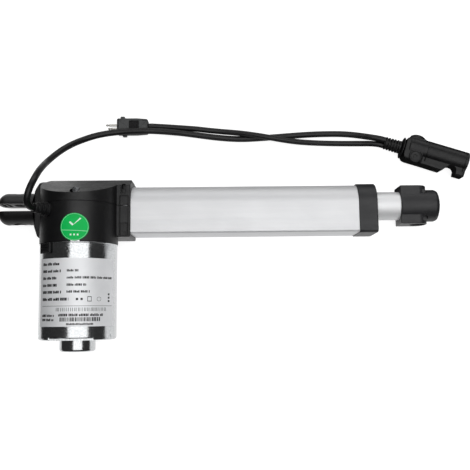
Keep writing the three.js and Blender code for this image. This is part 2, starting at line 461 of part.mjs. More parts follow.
// ---- round handset connector, in its own frame: u along it, v across it, w up --------------------
const CONN = new THREE.Vector3(328.5, 53.1, 0), CONN_A = (-17.4 * Math.PI) / 180;
const connPlace = new THREE.Matrix4().makeRotationZ(CONN_A).setPosition(CONN);
const inConn = (m) => m.transform(connPlace.elements);
const connPoint = (u, v, w) => new THREE.Vector3(u, v, w).applyMatrix4(connPlace).toArray();
const BARREL_V = 3.1, BARREL_W = 9.8, BARREL_R = 9.4;
{
  const arc = (cu, cv, r, d0, d1, n) => [...Array(n + 1)].map((_, i) => {
    const t = ((d0 + ((d1 - d0) * i) / n) * Math.PI) / 180;
    return [cu + r * Math.cos(t), cv + r * Math.sin(t)];
  });
  const fin = [[2.4, -6.2], [4.4, -9.2], [7.6, -10.5], [37.4, -11.0], [58.2, -11.0], [58.6, -3], [58.6, 6], [2.4, 6]];
  const hood = [[2.4, -6.2], [4.4, -9.2], [7.6, -10.5], [19.4, -10.7], [19.4, 12.2], [7, 11.0], [2.4, 7.8]];
  let body = join(rod("X", BARREL_R, 6, 58.6, BARREL_V, BARREL_W, 28),
    prism("Z", fin, 3.6, 16),
    prism("Z", hood, 1.4, 18.0).intersect(prism("X", roundedBox(-13, 13, 1.4, 17.6, 3.6, 4), 0, 30)),
    turn("Z", [[0, 12], [5.6, 12], [5.6, 17.9], [5.1, 18.4], [4.2, 18.4], [4.2, 17.9], [0, 17.9]], 12.8, -6.0, 18),
    turn("Y", [[0, 6], [6.8, 6], [6.8, 11.9], [6.2, 13.2], [4.4, 14.2], [0, 14.6]], 12.4, BARREL_W, 16));
  body = cut(body,
    rod("X", 6.6, 38, 60, BARREL_V, BARREL_W, 24),
    // hook notch, right through
    prism("Z", [[37.4, -14], [37.4, -11.0], [41.5, -6.9], ...arc(46.0, -8.1, 4.5, 135, 15, 5), [50.6, -14]], -2, 25),
    rod("X", 5.0, 1, 4, 0, 10, 16));
  node("connector_body", inConn(body), BLACK);
  node("connector_insert", inConn(rod("X", 6.3, 38.4, 43.4, BARREL_V, BARREL_W, 20)), 0x1b1b1d);
  for (let i = 0; i < 5; i++) {
    const t = ((-90 + (i - 2) * 45) * Math.PI) / 180;
    node(`connector_contact_${i + 1}`, inConn(turn("X", [[0, 43.7], [0.7, 43.7], [0.7, 53], [0.4, 53.8], [0, 53.9]],
      BARREL_V + 4.2 * Math.cos(t), BARREL_W + 4.2 * Math.sin(t), 8)), 0xc9a24a, 0.95, 0.25);
  }
  node("connector_collar", inConn(turn("X", [[0, 0.5], [8.7, 0.5], [9.4, 0.9], [9.4, 1.3], [8.7, 1.7], [4.7, 1.7], [4.7, 3.6], [0, 3.6]], 0, 10, 20)), BLACK);
}
// strain relief behind the collar
const RELIEF_A = (-17 * Math.PI) / 180, RELIEF_END = connPoint(0, 0, 10);
const reliefPlace = new THREE.Matrix4().makeRotationZ(RELIEF_A).setPosition(...RELIEF_END);
{
  const p = [[0, -0.6], [5.6, -0.6], [5.6, -2.2]];
  for (let i = 0; i < 4; i++) p.push([4.6, -2.6 - i * 3.2], [4.6, -4.0 - i * 3.2], [5.4 - i * 0.06, -4.3 - i * 3.2], [5.4 - i * 0.06, -5.5 - i * 3.2]);
  p[p.length - 1][1] = -15.4;
  p.push([0, -15.4]);
  let m = turn("X", p, 0, 0, 14);
  m = m.transform(reliefPlace.elements);
  node("connector_strain_relief", m, BLACK, 0, 0.7);
}
const reliefPoint = (u, v, w) => new THREE.Vector3(u, v, w).applyMatrix4(reliefPlace).toArray();

// ---- cords ----------------------------------------------------------------------------------
// both run over the floor side by side, B passes over A once, and both go into the strain relief
const CORD_A = [
  bootPoint(44.1), [22.8, -5.75, 67.2], [21.75, -4.95, 69.6], [21.4, -3.4, 72.0], [21.7, -1.2, 74.2], [22.5, 1.7, 75.7],
  [23.6, 5.4, 76.2], [24.9, 9.7, 75.3], [26.1, 14.3, 72.8], [26.9, 18.9, 68.6], [27.4, 23.6, 62.9], [27.9, 28.8, 55.0],
  [28.9, 34.9, 45.0], [33.1, 43.0, 35.5], [39.0, 50.6, 27.5],
  [46.2, 56.7, 21.3], [53.6, 61.0, 17.2], [61.7, 64.4, 14.7], [71.1, 66.6, 13.9], [81.9, 68.1, 13.2], [91.8, 68.8, 13.1],
  [100.5, 69.0, 13.1], [109.1, 69.1, 12.7], [118.1, 69.2, 10.6], [127.9, 69.2, 7.4], [137.4, 69.0, 4.5], [148.0, 67.9, 3.0],
  [159.5, 66.3, 2.8], [170.1, 65.0, 2.8], [180.7, 64.1, 2.8], [191.4, 63.8, 2.8], [203.8, 64.3, 2.8], [217.1, 65.2, 2.8],
  [232.3, 66.3, 2.8], [248.3, 67.3, 2.8], [263.1, 67.7, 2.9], [276.7, 67.4, 3.7], [287.0, 66.2, 5.4], [296.3, 64.2, 8.0],
  [304.4, 62.1, 10.7], reliefPoint(-18.9, 1.9, 1.95), reliefPoint(-15.9, 1.9, 2.0),
];
const CORD_B = [
  [107.2, 75.5, 4.9], [110.3, 75.6, 4.6], [115.3, 75.5, 3.9], [124.1, 75.2, 2.9], [135.5, 74.4, 2.6], [148.9, 73.3, 2.6],
  [161.3, 71.8, 2.7], [173.7, 70.3, 3.5], [184.3, 68.9, 5.1], [194.8, 67.1, 6.9], [205.3, 65.1, 8.2], [216.7, 62.9, 8.6],
  [228.2, 61.0, 7.9], [238.9, 60.0, 6.2], [249.7, 59.6, 4.3], [260.5, 59.4, 3.0], [273.1, 59.1, 2.6], [285.4, 58.8, 3.1],
  [295.8, 58.3, 4.7], [303.6, 57.7, 6.7], reliefPoint(-18.9, -2.1, -1.95), reliefPoint(-15.9, -2.0, -1.9),
];
node("motor_cord", sweep(CORD_A, CORD_A_D, 74, 8), BLACK, 0, 0.5);
node("plug_cord", sweep(CORD_B, CORD_B_D, 34, 8), BLACK, 0, 0.5);

export default group;
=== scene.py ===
# Linear actuator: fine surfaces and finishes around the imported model.
# Shapes are made in millimetres from the rear pin and the spindle axis, then moved into the row frame in metres.
import math
import random

import bmesh
import bpy
from mathutils import Matrix, Vector


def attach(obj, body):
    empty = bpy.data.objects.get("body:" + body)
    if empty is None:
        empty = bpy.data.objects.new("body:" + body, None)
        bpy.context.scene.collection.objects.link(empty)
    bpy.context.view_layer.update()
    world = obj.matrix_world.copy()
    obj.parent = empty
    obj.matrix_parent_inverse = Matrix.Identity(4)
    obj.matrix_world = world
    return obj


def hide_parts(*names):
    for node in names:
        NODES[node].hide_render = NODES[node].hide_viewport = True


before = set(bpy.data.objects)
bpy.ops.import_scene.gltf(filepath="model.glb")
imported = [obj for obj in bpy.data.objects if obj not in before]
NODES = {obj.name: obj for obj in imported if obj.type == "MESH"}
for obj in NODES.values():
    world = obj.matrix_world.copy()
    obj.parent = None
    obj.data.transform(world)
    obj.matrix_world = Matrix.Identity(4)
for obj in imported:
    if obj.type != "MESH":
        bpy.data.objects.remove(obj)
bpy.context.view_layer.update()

scene = bpy.context.scene
TO_ROW = Matrix.Scale(0.001, 4) @ Matrix.Translation((-168.9, 47.0, 0.0))


# ---- camera -----------------------------------------------------------------------------
cam_data = bpy.data.cameras.new("camera")
cam_data.sensor_width = 36
cam_data.lens = 52.17
cam_data.clip_start, cam_data.clip_end = 0.01, 50
cam = bpy.data.objects.new("camera", cam_data)
cam.location = (0.00552, -0.0443, 0.5926)
cam.rotation_euler = [math.radians(a) for a in (6.73, -0.7, -0.65)]
scene.collection.objects.link(cam)
scene.camera = cam

# ---- driving dimensions, mm ---------------------------------------------------------------
SZ = 17.5                      # spindle height
MX, MZ = 53.3, 31.7            # motor axis
CAN_R, DRUM_R = 31.1, 31.7
TOP, RIM, CAN_END, BOSS_END = 24.8, -32.2, -109.4, -118.8
PIN = 338.0
GAP = 0.3
CONN_A = math.radians(-17.4)
BOOT_T, BOOT_Y = math.radians(-41), -6.0


def boot_point(r, y=BOOT_Y):
    return (MX + r * math.sin(BOOT_T), y, MZ + r * math.cos(BOOT_T))


CONN = Matrix.Translation((328.5, 53.1, 0)) @ Matrix.Rotation(CONN_A, 4, "Z")
RELIEF = Matrix.Translation(CONN @ Vector((0, 0, 10))) @ Matrix.Rotation(math.radians(-17), 4, "Z")


def relief_point(u, v, w):
    return tuple(RELIEF @ Vector((u, v, w)))


# ---- mesh helpers ---------------------------------------------------------------------------
SOLVER = "MANIFOLD"


def mesh_object(name, verts, faces):
    me = bpy.data.meshes.new(name)
    me.from_pydata([tuple(v) for v in verts], [], faces)
    bm = bmesh.new()
    bm.from_mesh(me)
    bmesh.ops.remove_doubles(bm, verts=bm.verts, dist=1e-5)
    bmesh.ops.recalc_face_normals(bm, faces=bm.faces)
    if bm.calc_volume(signed=True) < 0:
        bmesh.ops.reverse_faces(bm, faces=bm.faces)
    bm.to_mesh(me)
    bm.free()
    o = bpy.data.objects.new(name, me)
    scene.collection.objects.link(o)
    return o


def soft(points, r, closed=False, n=4, least=18):
    """Round the corners of a polyline by r, as far as its sides allow."""
    out, m = [], len(points)
    for i, p in enumerate(points):
        if not closed and i in (0, m - 1):
            out.append(tuple(p))
            continue
        a, b, c = Vector(points[i - 1][:2]), Vector(p[:2]), Vector(points[(i + 1) % m][:2])
        u, v = a - b, c - b
        if u.length < 1e-6 or v.length < 1e-6:
            out.append(tuple(p))
            continue
        turn = 180 - math.degrees(u.angle(v))
        if turn < least:
            out.append(tuple(p))
            continue
        t = min(r * math.tan(math.radians(turn) / 2), 0.46 * u.length, 0.46 * v.length)
        s, e = b + u.normalized() * t, b + v.normalized() * t
        for k in range(n + 1):
            f = k / n
            q = s * (1 - f) ** 2 + b * 2 * f * (1 - f) + e * f * f
            out.append((q.x, q.y))
    return out


def place(axis, u, v, w):
    if axis == "X":
        return (w, u, v)
    if axis == "Y":
        return (u, w, v)
    return (u, v, w)


def inset(points, d):
    """Move a closed outline inwards by d."""
    m = len(points)
    area = sum(points[i][0] * points[(i + 1) % m][1] - points[(i + 1) % m][0] * points[i][1] for i in range(m))
    sign = 1 if area > 0 else -1
    out = []
    for i in range(m):
        a, b, c = Vector(points[i - 1]), Vector(points[i]), Vector(points[(i + 1) % m])
        e1, e2 = (b - a), (c - b)
        if e1.length < 1e-9 or e2.length < 1e-9:
            out.append(tuple(b))
            continue
        n1 = Vector((-e1.y, e1.x)).normalized() * sign
        n2 = Vector((-e2.y, e2.x)).normalized() * sign
        n = n1 + n2
        if n.length < 1e-6:
            out.append(tuple(b))
            continue
        n.normalize()
        k = max(0.5, n.dot(n1))
        out.append(tuple(b + n * (d / k)))
    return out


def slab(axis, outline, a, b, r=0.0, n=3, name="slab"):
    """A prism along an axis, its end edges rounded by r. X takes (y, z), Y takes (x, z), Z takes (x, y)."""
    layers = []
    if r > 0:
        for k in range(n + 1):
            t = math.pi / 2 * k / n
            layers.append((r * (1 - math.sin(t)), a + r * (1 - math.cos(t))))
        for k in range(n, -1, -1):
            t = math.pi / 2 * k / n
            layers.append((r * (1 - math.sin(t)), b - r * (1 - math.cos(t))))
    else:
        layers = [(0, a), (0, b)]
    verts, faces, m = [], [], len(outline)
    for d, w in layers:
        ring_ = inset(outline, d) if d > 1e-9 else outline
        verts += [place(axis, u, v, w) for u, v in ring_]
    for j in range(len(layers) - 1):
        for i in range(m):
            k = (i + 1) % m
            faces.append((j * m + i, j * m + k, (j + 1) * m + k, (j + 1) * m + i))
    faces.append(tuple(range(m)))
    faces.append(tuple(range((len(layers) - 1) * m, len(layers) * m)))
    return mesh_object(name, verts, faces)


def box(x0, x1, y0, y1, z0, z1, r=0.0, name="box"):
    return slab("Z", [(x0, y0), (x1, y0), (x1, y1), (x0, y1)] if r == 0 else
                soft([(x0, y0), (x1, y0), (x1, y1), (x0, y1)], r, True, 3), z0, z1, r, name=name)


def lathe(axis, profile, c1, c2, seg=96, closed=False, name="lathe"):
    """Turn a profile of (radius, along) about a line. Radius 0 closes on the axis."""
    verts, rings, faces = [], [], []
    for r, a in profile:
        ring_ = []
        for k in range(1 if r < 1e-6 else seg):
            t = (k + 0.5) / seg * math.tau
            ring_.append(len(verts))
            verts.append(place(axis, c1 + r * math.cos(t), c2 + r * math.sin(t), a))
        rings.append(ring_)
    m = len(rings)
    for i in range(m if closed else m - 1):
        A, B = rings[i], rings[(i + 1) % m]
        for k in range(seg):
            l = (k + 1) % seg
            if len(A) > 1 and len(B) > 1:
                faces.append((A[k], A[l], B[l], B[k]))
            elif len(A) > 1:
                faces.append((A[k], A[l], B[0]))
            elif len(B) > 1:
                faces.append((A[0], B[l], B[k]))
    return mesh_object(name, verts, faces)


def rod(axis, r, a0, a1, c1, c2, seg=96, e=0.0, name="rod"):
    p = [(0, a0), (r, a0), (r, a1), (0, a1)]
    return lathe(axis, soft(p, e, n=3) if e else p, c1, c2, seg, name=name)


def tube(axis, ro, ri, a0, a1, c1, c2, seg=96, e=0.3, name="tube"):
    p = [(ri, a0), (ro, a0), (ro, a1), (ri, a1)]
    return lathe(axis, soft(p, e, True, 3), c1, c2, seg, True, name)


def move(o, m):
    o.data.transform(m)
    return o


def bake(o):
    dg = bpy.context.evaluated_depsgraph_get()
    me = bpy.data.meshes.new_from_object(o.evaluated_get(dg), preserve_all_data_layers=False, depsgraph=dg)
    o.modifiers.clear()
    old = o.data
    o.data = me
    bpy.data.meshes.remove(old)
    return o


def solid(base, tools, op):
    for t in tools:
        m = base.modifiers.new("b", "BOOLEAN")
        m.operation = op
        m.object = t
        try:
            m.solver = SOLVER
        except TypeError:
            m.solver = "EXACT"
    bake(base)
    for t in tools:
        me = t.data
        bpy.data.objects.remove(t)
        bpy.data.meshes.remove(me)
    return base


def join(base, *tools):
    return solid(base, tools, "UNION")


def cut(base, *tools):
    return solid(base, tools, "DIFFERENCE")


def common(base, *tools):
    return solid(base, tools, "INTERSECT")


def copy(o, name="copy"):
    c = o.copy()
    c.data = o.data.copy()
    c.name = name
    scene.collection.objects.link(c)
    return c


def tidy(o, dist=0.004, flat=0.6):
    bm = bmesh.new()
    bm.from_mesh(o.data)
    bmesh.ops.remove_doubles(bm, verts=bm.verts, dist=dist)
    bmesh.ops.dissolve_degenerate(bm, dist=dist, edges=bm.edges)
    bmesh.ops.dissolve_limit(bm, angle_limit=math.radians(flat), verts=bm.verts, edges=bm.edges)
    bm.to_mesh(o.data)
    bm.free()
    return o


def bevel(o, width, seg=2, angle=35, clamp=True):
    tidy(o)
    m = o.modifiers.new("bev", "BEVEL")
    m.width, m.segments, m.limit_method, m.angle_limit = width, seg, "ANGLE", math.radians(angle)
    m.use_clamp_overlap = clamp
    m.miter_outer = "MITER_SHARP"
    bake(o)
    return o


ALL = []


def finish_piece(o, name, body, material, nodes=(), angle=32, row_frame=True):
    """Name the piece, shade it, move it into the row frame, and tie it to its body, slot and nodes."""
    bm = bmesh.new()
    bm.from_mesh(o.data)
    bmesh.ops.remove_doubles(bm, verts=bm.verts, dist=0.002)
    bmesh.ops.dissolve_degenerate(bm, dist=0.001, edges=bm.edges)
    big = [f for f in bm.faces if len(f.verts) > 4]
    bmesh.ops.triangulate(bm, faces=big)
    bm.to_mesh(o.data)
    bm.free()
    for p in o.data.polygons:
        p.use_smooth = True
    o.data.set_sharp_from_angle(angle=math.radians(angle))
    if row_frame:
        o.data.transform(TO_ROW)
    o.name = name
    o.data.name = name
    o.data.materials.clear()
    o.data.materials.append(material)
    w = o.modifiers.new("normals", "WEIGHTED_NORMAL")
    w.keep_sharp = True
    bake(o)
    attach(o, body)
    if nodes:
        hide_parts(*nodes)
    ALL.append(o)
    return o


def arch(half, top, bottom, corner, seg=64, grooves=(), depth=0.3):
    """Section in (y, z): a round side towards +Y, straight flanks, and a flat side at y = bottom."""
    cy, pts = top - half, []
    for i in range(seg + 1):
        t = -math.pi / 2 + math.pi * i / seg
        pts.append((cy + half * math.cos(t), SZ + half * math.sin(t)))
    for g in grooves:
        pts += [(g + 0.45, SZ + half), (g + 0.2, SZ + half - depth), (g - 0.2, SZ + half - depth), (g - 0.45, SZ + half)]
    for i in range(7):
        t = math.pi / 2 + math.pi / 2 * i / 6
        pts.append((bottom + corner + corner * math.cos(t), SZ + half - corner + corner * math.sin(t)))
    for i in range(7):
        t = math.pi + math.pi / 2 * i / 6
        pts.append((bottom + corner + corner * math.cos(t), SZ - half + corner + corner * math.sin(t)))
    for g in reversed(grooves):
        pts += [(g - 0.45, SZ - half), (g - 0.2, SZ - half + depth), (g + 0.2, SZ - half + depth), (g + 0.45, SZ - half)]
    return pts


def rounded(u0, u1, v0, v1, r, n=6):
    return soft([(u0, v0), (u1, v0), (u1, v1), (u0, v1)], r, True, n)


# ---- materials ---------------------------------------------------------------------------------
def srgb(r, g, b):
    f = lambda c: c / 12.92 if c <= 0.04045 else ((c + 0.055) / 1.055) ** 2.4
    return (f(r / 255), f(g / 255), f(b / 255), 1)


class Mat:
    def __init__(self, name):
        self.m = bpy.data.materials.new(name)
        self.m.use_nodes = True
        self.t = self.m.node_tree
        self.t.nodes.clear()
        self.out = self.add("ShaderNodeOutputMaterial")
        self.b = self.add("ShaderNodeBsdfPrincipled")
        self.link(self.b, 0, self.out, 0)
        self.co = self.add("ShaderNodeTexCoord")

    def add(self, kind, **kw):
        n = self.t.nodes.new(kind)
        for k, v in kw.items():
            setattr(n, k, v)
        return n

    def link(self, a, i, b, j):
        self.t.links.new(a.outputs[i], b.inputs[j])

    def noise(self, scale, detail=4.0, rough=0.55, stretch=None, distortion=0.0):
        n = self.add("ShaderNodeTexNoise")
        n.inputs["Scale"].default_value = scale
        n.inputs["Detail"].default_value = detail
        n.inputs["Roughness"].default_value = rough
        n.inputs["Distortion"].default_value = distortion
        if stretch:
            mp = self.add("ShaderNodeMapping")
            mp.inputs["Scale"].default_value = stretch
            self.link(self.co, "Object", mp, "Vector")
            self.link(mp, "Vector", n, "Vector")
        else:
            self.link(self.co, "Object", n, "Vector")
        return n

    def ramp(self, src, stops, out="Fac"):
        r = self.add("ShaderNodeValToRGB")
        while len(r.color_ramp.elements) < len(stops):
            r.color_ramp.elements.new(0.5)
        for e, (p, c) in zip(r.color_ramp.elements, stops):
            e.position = p
            e.color = c if hasattr(c, "__len__") else (c, c, c, 1)
        self.link(src, out, r, "Fac")
        return r

    def span(self, src, a, b, lo=0.3, hi=0.7, out="Fac"):
        m = self.add("ShaderNodeMapRange")
        m.inputs["From Min"].default_value = lo
        m.inputs["From Max"].default_value = hi
        m.inputs["To Min"].default_value = a
        m.inputs["To Max"].default_value = b
        self.link(src, out, m, "Value")
        return m

    def mix(self, fac, a, b, blend="MIX"):
        m = self.add("ShaderNodeMix", data_type="RGBA", blend_type=blend)
        for sock, v in ((0, fac), (6, a), (7, b)):
            if isinstance(v, tuple) and len(v) == 2 and hasattr(v[0], "outputs"):
                self.t.links.new(v[0].outputs[v[1]], m.inputs[sock])
            else:
                m.inputs[sock].default_value = v
        return m

    def bump(self, src, out, strength, dist, before=None):
        b = self.add("ShaderNodeBump")
        b.inputs["Strength"].default_value = strength
        b.inputs["Distance"].default_value = dist
        self.link(src, out, b, "Height")
        if before:
            self.link(before, "Normal", b, "Normal")
        return b


def plastic(name, base, light, rough=(0.38, 0.5), grain=2600, grain_depth=0.00004, edge=0.16, spec=0.5, edge_r=0.0005):
    """Moulded plastic: fine spark texture, faint flow marks, scuffed and slightly lighter edges."""
    k = Mat(name)
    big = k.noise(38, 3, 0.5)
    mid = k.noise(420, 5, 0.6)
    fine = k.noise(grain, 2, 0.5)
    flow = k.noise(60, 3, 0.5, (1, 4, 1))
    c1 = k.mix((k.span(big, 0.0, 1.0), 0), base, light)
    # edge wear from the difference between the rounded and the true normal
    bev = k.add("ShaderNodeBevel", samples=4)
    bev.inputs["Radius"].default_value = edge_r
    geo = k.add("ShaderNodeNewGeometry")
    dot = k.add("ShaderNodeVectorMath", operation="DOT_PRODUCT")
    k.link(bev, "Normal", dot, 0)
    k.link(geo, "Normal", dot, 1)
    wear = k.add("ShaderNodeMapRange")
    wear.inputs["From Min"].default_value = 0.995
    wear.inputs["From Max"].default_value = 0.86
    wear.inputs["To Max"].default_value = edge
    k.link(dot, "Value", wear, "Value")
    spots = k.span(mid, 0.25, 1.0, 0.4, 0.62)
    wm = k.add("ShaderNodeMath", operation="MULTIPLY")
    k.link(wear, 0, wm, 0)
    k.link(spots, 0, wm, 1)
    worn = tuple(min(1, c * 1.9 + 0.006) for c in light[:3]) + (1,)
    c2 = k.mix((wm, 0), (c1, 2), worn)
    k.link(c2, 2, k.b, "Base Color")
    rsum = k.add("ShaderNodeMath", operation="ADD")
    k.link(k.span(mid, rough[0], rough[1]), 0, rsum, 0)
    k.link(k.span(flow, -0.04, 0.05), 0, rsum, 1)
    k.link(rsum, 0, k.b, "Roughness")
    k.b.inputs["Specular IOR Level"].default_value = spec
    b1 = k.add("ShaderNodeBump")
    b1.inputs["Strength"].default_value = 0.5
    b1.inputs["Distance"].default_value = grain_depth
    k.link(fine, "Fac", b1, "Height")
    k.link(bev, "Normal", b1, "Normal")
    b2 = k.bump(mid, "Fac", 0.35, 0.00006, b1)
    k.link(b2, "Normal", k.b, "Normal")
    return k.m


def brushed(name, base, dark, rough=(0.36, 0.5), metallic=1.0, stretch=(6, 260, 260), depth=0.00003):
    """Extruded or turned aluminium: lengthwise die lines, faint stains, satin anodise."""
    k = Mat(name)
    lines = k.noise(14, 6, 0.65, stretch)
    wide = k.noise(6, 3, 0.5, (1.2, 26, 26))
    blotch = k.noise(45, 4, 0.6)
    grain = k.noise(3200, 2, 0.5)
    f = k.add("ShaderNodeMath", operation="ADD")
    k.link(k.span(lines, 0.0, 0.55), 0, f, 0)
    k.link(k.span(wide, 0.0, 0.45), 0, f, 1)
    c = k.mix((f, 0), dark, base)
    k.link(c, 2, k.b, "Base Color")
    k.b.inputs["Metallic"].default_value = metallic
    r = k.add("ShaderNodeMath", operation="ADD")
    k.link(k.span(lines, rough[0], rough[1]), 0, r, 0)
    k.link(k.span(blotch, -0.03, 0.04), 0, r, 1)
    k.link(r, 0, k.b, "Roughness")
    b1 = k.bump(lines, "Fac", 0.35, depth)
    b2 = k.bump(grain, "Fac", 0.25, 0.00002, b1)
    k.link(b2, "Normal", k.b, "Normal")
    return k.m


def zinc(name, base, dark, rough=(0.1, 0.24), spangle=520, metallic=1.0, depth=0.00006):
    """Bright zinc plate on rolled sheet: crystalline speckle and a slight orange peel."""
    k = Mat(name)
    vor = k.add("ShaderNodeTexVoronoi")
    vor.inputs["Scale"].default_value = spangle
    k.link(k.co, "Object", vor, "Vector")
    n1 = k.noise(spangle * 1.4, 5, 0.7)
    n2 = k.noise(70, 4, 0.55)
    f = k.add("ShaderNodeMath", operation="MULTIPLY")
    k.link(k.span(n1, 0.25, 1.0, 0.36, 0.6), 0, f, 0)
    k.link(k.span(n2, 0.8, 1.0), 0, f, 1)
    c = k.mix((f, 0), dark, base)
    k.link(c, 2, k.b, "Base Color")
    k.b.inputs["Metallic"].default_value = metallic
    r = k.add("ShaderNodeMath", operation="ADD")
    k.link(k.span(n1, rough[0], rough[1]), 0, r, 0)
    k.link(k.span(n2, -0.02, 0.05), 0, r, 1)
    k.link(r, 0, k.b, "Roughness")
    sep = k.add("ShaderNodeSeparateColor")
    k.link(vor, "Color", sep, 0)
    b1 = k.bump(sep, 0, 0.3, depth * 0.5)
    b2 = k.bump(n1, "Fac", 0.55, depth, b1)
    b3 = k.bump(n2, "Fac", 0.4, 0.0003, b2)
    k.link(b3, "Normal", k.b, "Normal")
    return k.m


def plain_metal(name, base, dark, rough=(0.2, 0.35), scale=900):
    k = Mat(name)
    n = k.noise(scale, 4, 0.6)
    m = k.noise(90, 3, 0.5)
    c = k.mix((k.span(n, 0.0, 1.0), 0), dark, base)
    k.link(c, 2, k.b, "Base Color")
    k.b.inputs["Metallic"].default_value = 1.0
    r = k.add("ShaderNodeMath", operation="ADD")
    k.link(k.span(n, rough[0], rough[1]), 0, r, 0)
    k.link(k.span(m, -0.03, 0.05), 0, r, 1)
    k.link(r, 0, k.b, "Roughness")
    k.link(k.bump(n, "Fac", 0.4, 0.00003), "Normal", k.b, "Normal")
    return k.m


def rubber(name, base, light, rough=(0.3, 0.42), scale=700, spec=0.5, coat=0.0):
    """Soft PVC: faint longitudinal draw marks, dust and small dents."""
    k = Mat(name)
    n = k.noise(scale, 5, 0.6)
    m = k.noise(120, 4, 0.6)
    c = k.mix((k.span(m, 0.0, 1.0), 0), base, light)
    k.link(c, 2, k.b, "Base Color")
    r = k.add("ShaderNodeMath", operation="ADD")
    k.link(k.span(n, rough[0], rough[1]), 0, r, 0)
    k.link(k.span(m, -0.05, 0.06), 0, r, 1)
    k.link(r, 0, k.b, "Roughness")
    k.b.inputs["Specular IOR Level"].default_value = spec
    k.b.inputs["Coat Weight"].default_value = coat
    b1 = k.bump(n, "Fac", 0.3, 0.00005)
    b2 = k.bump(m, "Fac", 0.3, 0.00015, b1)
    k.link(b2, "Normal", k.b, "Normal")
    return k.m


def film(name, base, dark, rough=(0.3, 0.42), metallic=0.0, scale=500, spec=0.5):
    """Printed self-adhesive film: slight ripple and handling marks."""
    k = Mat(name)
    n = k.noise(scale, 4, 0.6)
    m = k.noise(55, 3, 0.5)
    c = k.mix((k.span(m, 0.0, 1.0), 0), dark, base)
    k.link(c, 2, k.b, "Base Color")
    k.b.inputs["Metallic"].default_value = metallic
    k.b.inputs["Specular IOR Level"].default_value = spec
    k.link(k.span(n, rough[0], rough[1]), 0, k.b, "Roughness")
    b1 = k.bump(n, "Fac", 0.2, 0.00002)
    b2 = k.bump(m, "Fac", 0.3, 0.00012, b1)
    k.link(b2, "Normal", k.b, "Normal")
    return k.m


M_HOUSING = plastic("housing_plastic", srgb(13, 13, 14), srgb(19, 19, 20), (0.36, 0.48), spec=0.42)
M_CHARCOAL = plastic("charcoal_plastic_finish", srgb(28, 28, 30), srgb(37, 37, 39), (0.4, 0.52), grain=2200, grain_depth=0.00006)
M_CONNECTOR = plastic("connector_plastic", srgb(9, 9, 10), srgb(15, 15, 16), (0.33, 0.45), grain=2400, spec=0.4)
M_PLUG = plastic("plug_plastic", srgb(44, 45, 46), srgb(58, 60, 60), (0.42, 0.55), grain=2200)
M_ALU = brushed("satin_anodised_aluminium", srgb(228, 228, 229), srgb(216, 217, 219), (0.48, 0.58), 0.65)
M_ROD = brushed("drawn_aluminium_rod", srgb(236, 236, 237), srgb(226, 227, 228), (0.45, 0.56), 0.45, (5, 320, 320))
M_ZINC = zinc("zinc_plated_steel", srgb(226, 228, 229), srgb(168, 170, 172), (0.1, 0.21), 800, 1.0, 0.000035)
M_STEEL = plain_metal("bright_steel_finish", srgb(205, 206, 208), srgb(150, 152, 155))
M_SCREW = plain_metal("dark_screw_steel", srgb(120, 121, 123), srgb(78, 79, 82), (0.28, 0.42))
M_NICKEL = plain_metal("nickel_pin_finish", srgb(214, 212, 206), srgb(165, 163, 158), (0.12, 0.22))
M_BRASS = plain_metal("brass_contact_finish", srgb(212, 176, 98), srgb(158, 122, 56), (0.18, 0.3))
M_COPPER = plain_metal("copper_winding_finish", srgb(196, 118, 76), srgb(128, 70, 40), (0.25, 0.4))
M_BRONZE = plain_metal("sintered_bronze_finish", srgb(176, 142, 84), srgb(116, 88, 48), (0.4, 0.55), 1500)
M_FERRITE = plastic("dark_ferrite_finish", srgb(42, 42, 44), srgb(56, 56, 58), (0.6, 0.72), grain=3000)
M_POM = plastic("white_acetal_finish", srgb(228, 226, 216), srgb(238, 237, 230), (0.34, 0.46), edge=0.1)
M_PVC = rubber("black_pvc_jacket", srgb(8, 8, 9), srgb(14, 14, 15), (0.3, 0.42), spec=0.4)
M_BOOT = rubber("boot_rubber", srgb(10, 10, 11), srgb(17, 17, 18), (0.42, 0.56), 900, spec=0.4)
M_LABEL = film("matt_silver_film", srgb(232, 233, 235), srgb(222, 223, 225), (0.42, 0.52), 0.2)
M_PRINT = film("label_ink", srgb(14, 14, 15), srgb(26, 26, 27), (0.5, 0.62))
M_GREEN = film("green_paper_film", srgb(0, 182, 84), srgb(0, 170, 74), (0.5, 0.6), spec=0.2)
M_GREEN_LINE = film("pale_green_ink", srgb(150, 226, 180), srgb(126, 214, 160), (0.45, 0.55))
M_WHITE_INK = film("white_ink", srgb(226, 240, 230), srgb(205, 228, 214), (0.45, 0.55))
M_BOARD = film("green_board_finish", srgb(40, 112, 66), srgb(30, 92, 52), (0.35, 0.5), 0, 900)
M_GRIP = plastic("grip_inset_plastic", srgb(7, 7, 8), srgb(12, 12, 13), (0.45, 0.58), spec=0.3)
M_SWITCH = plastic("switch_plastic", srgb(28, 28, 30), srgb(38, 38, 40), (0.4, 0.52))

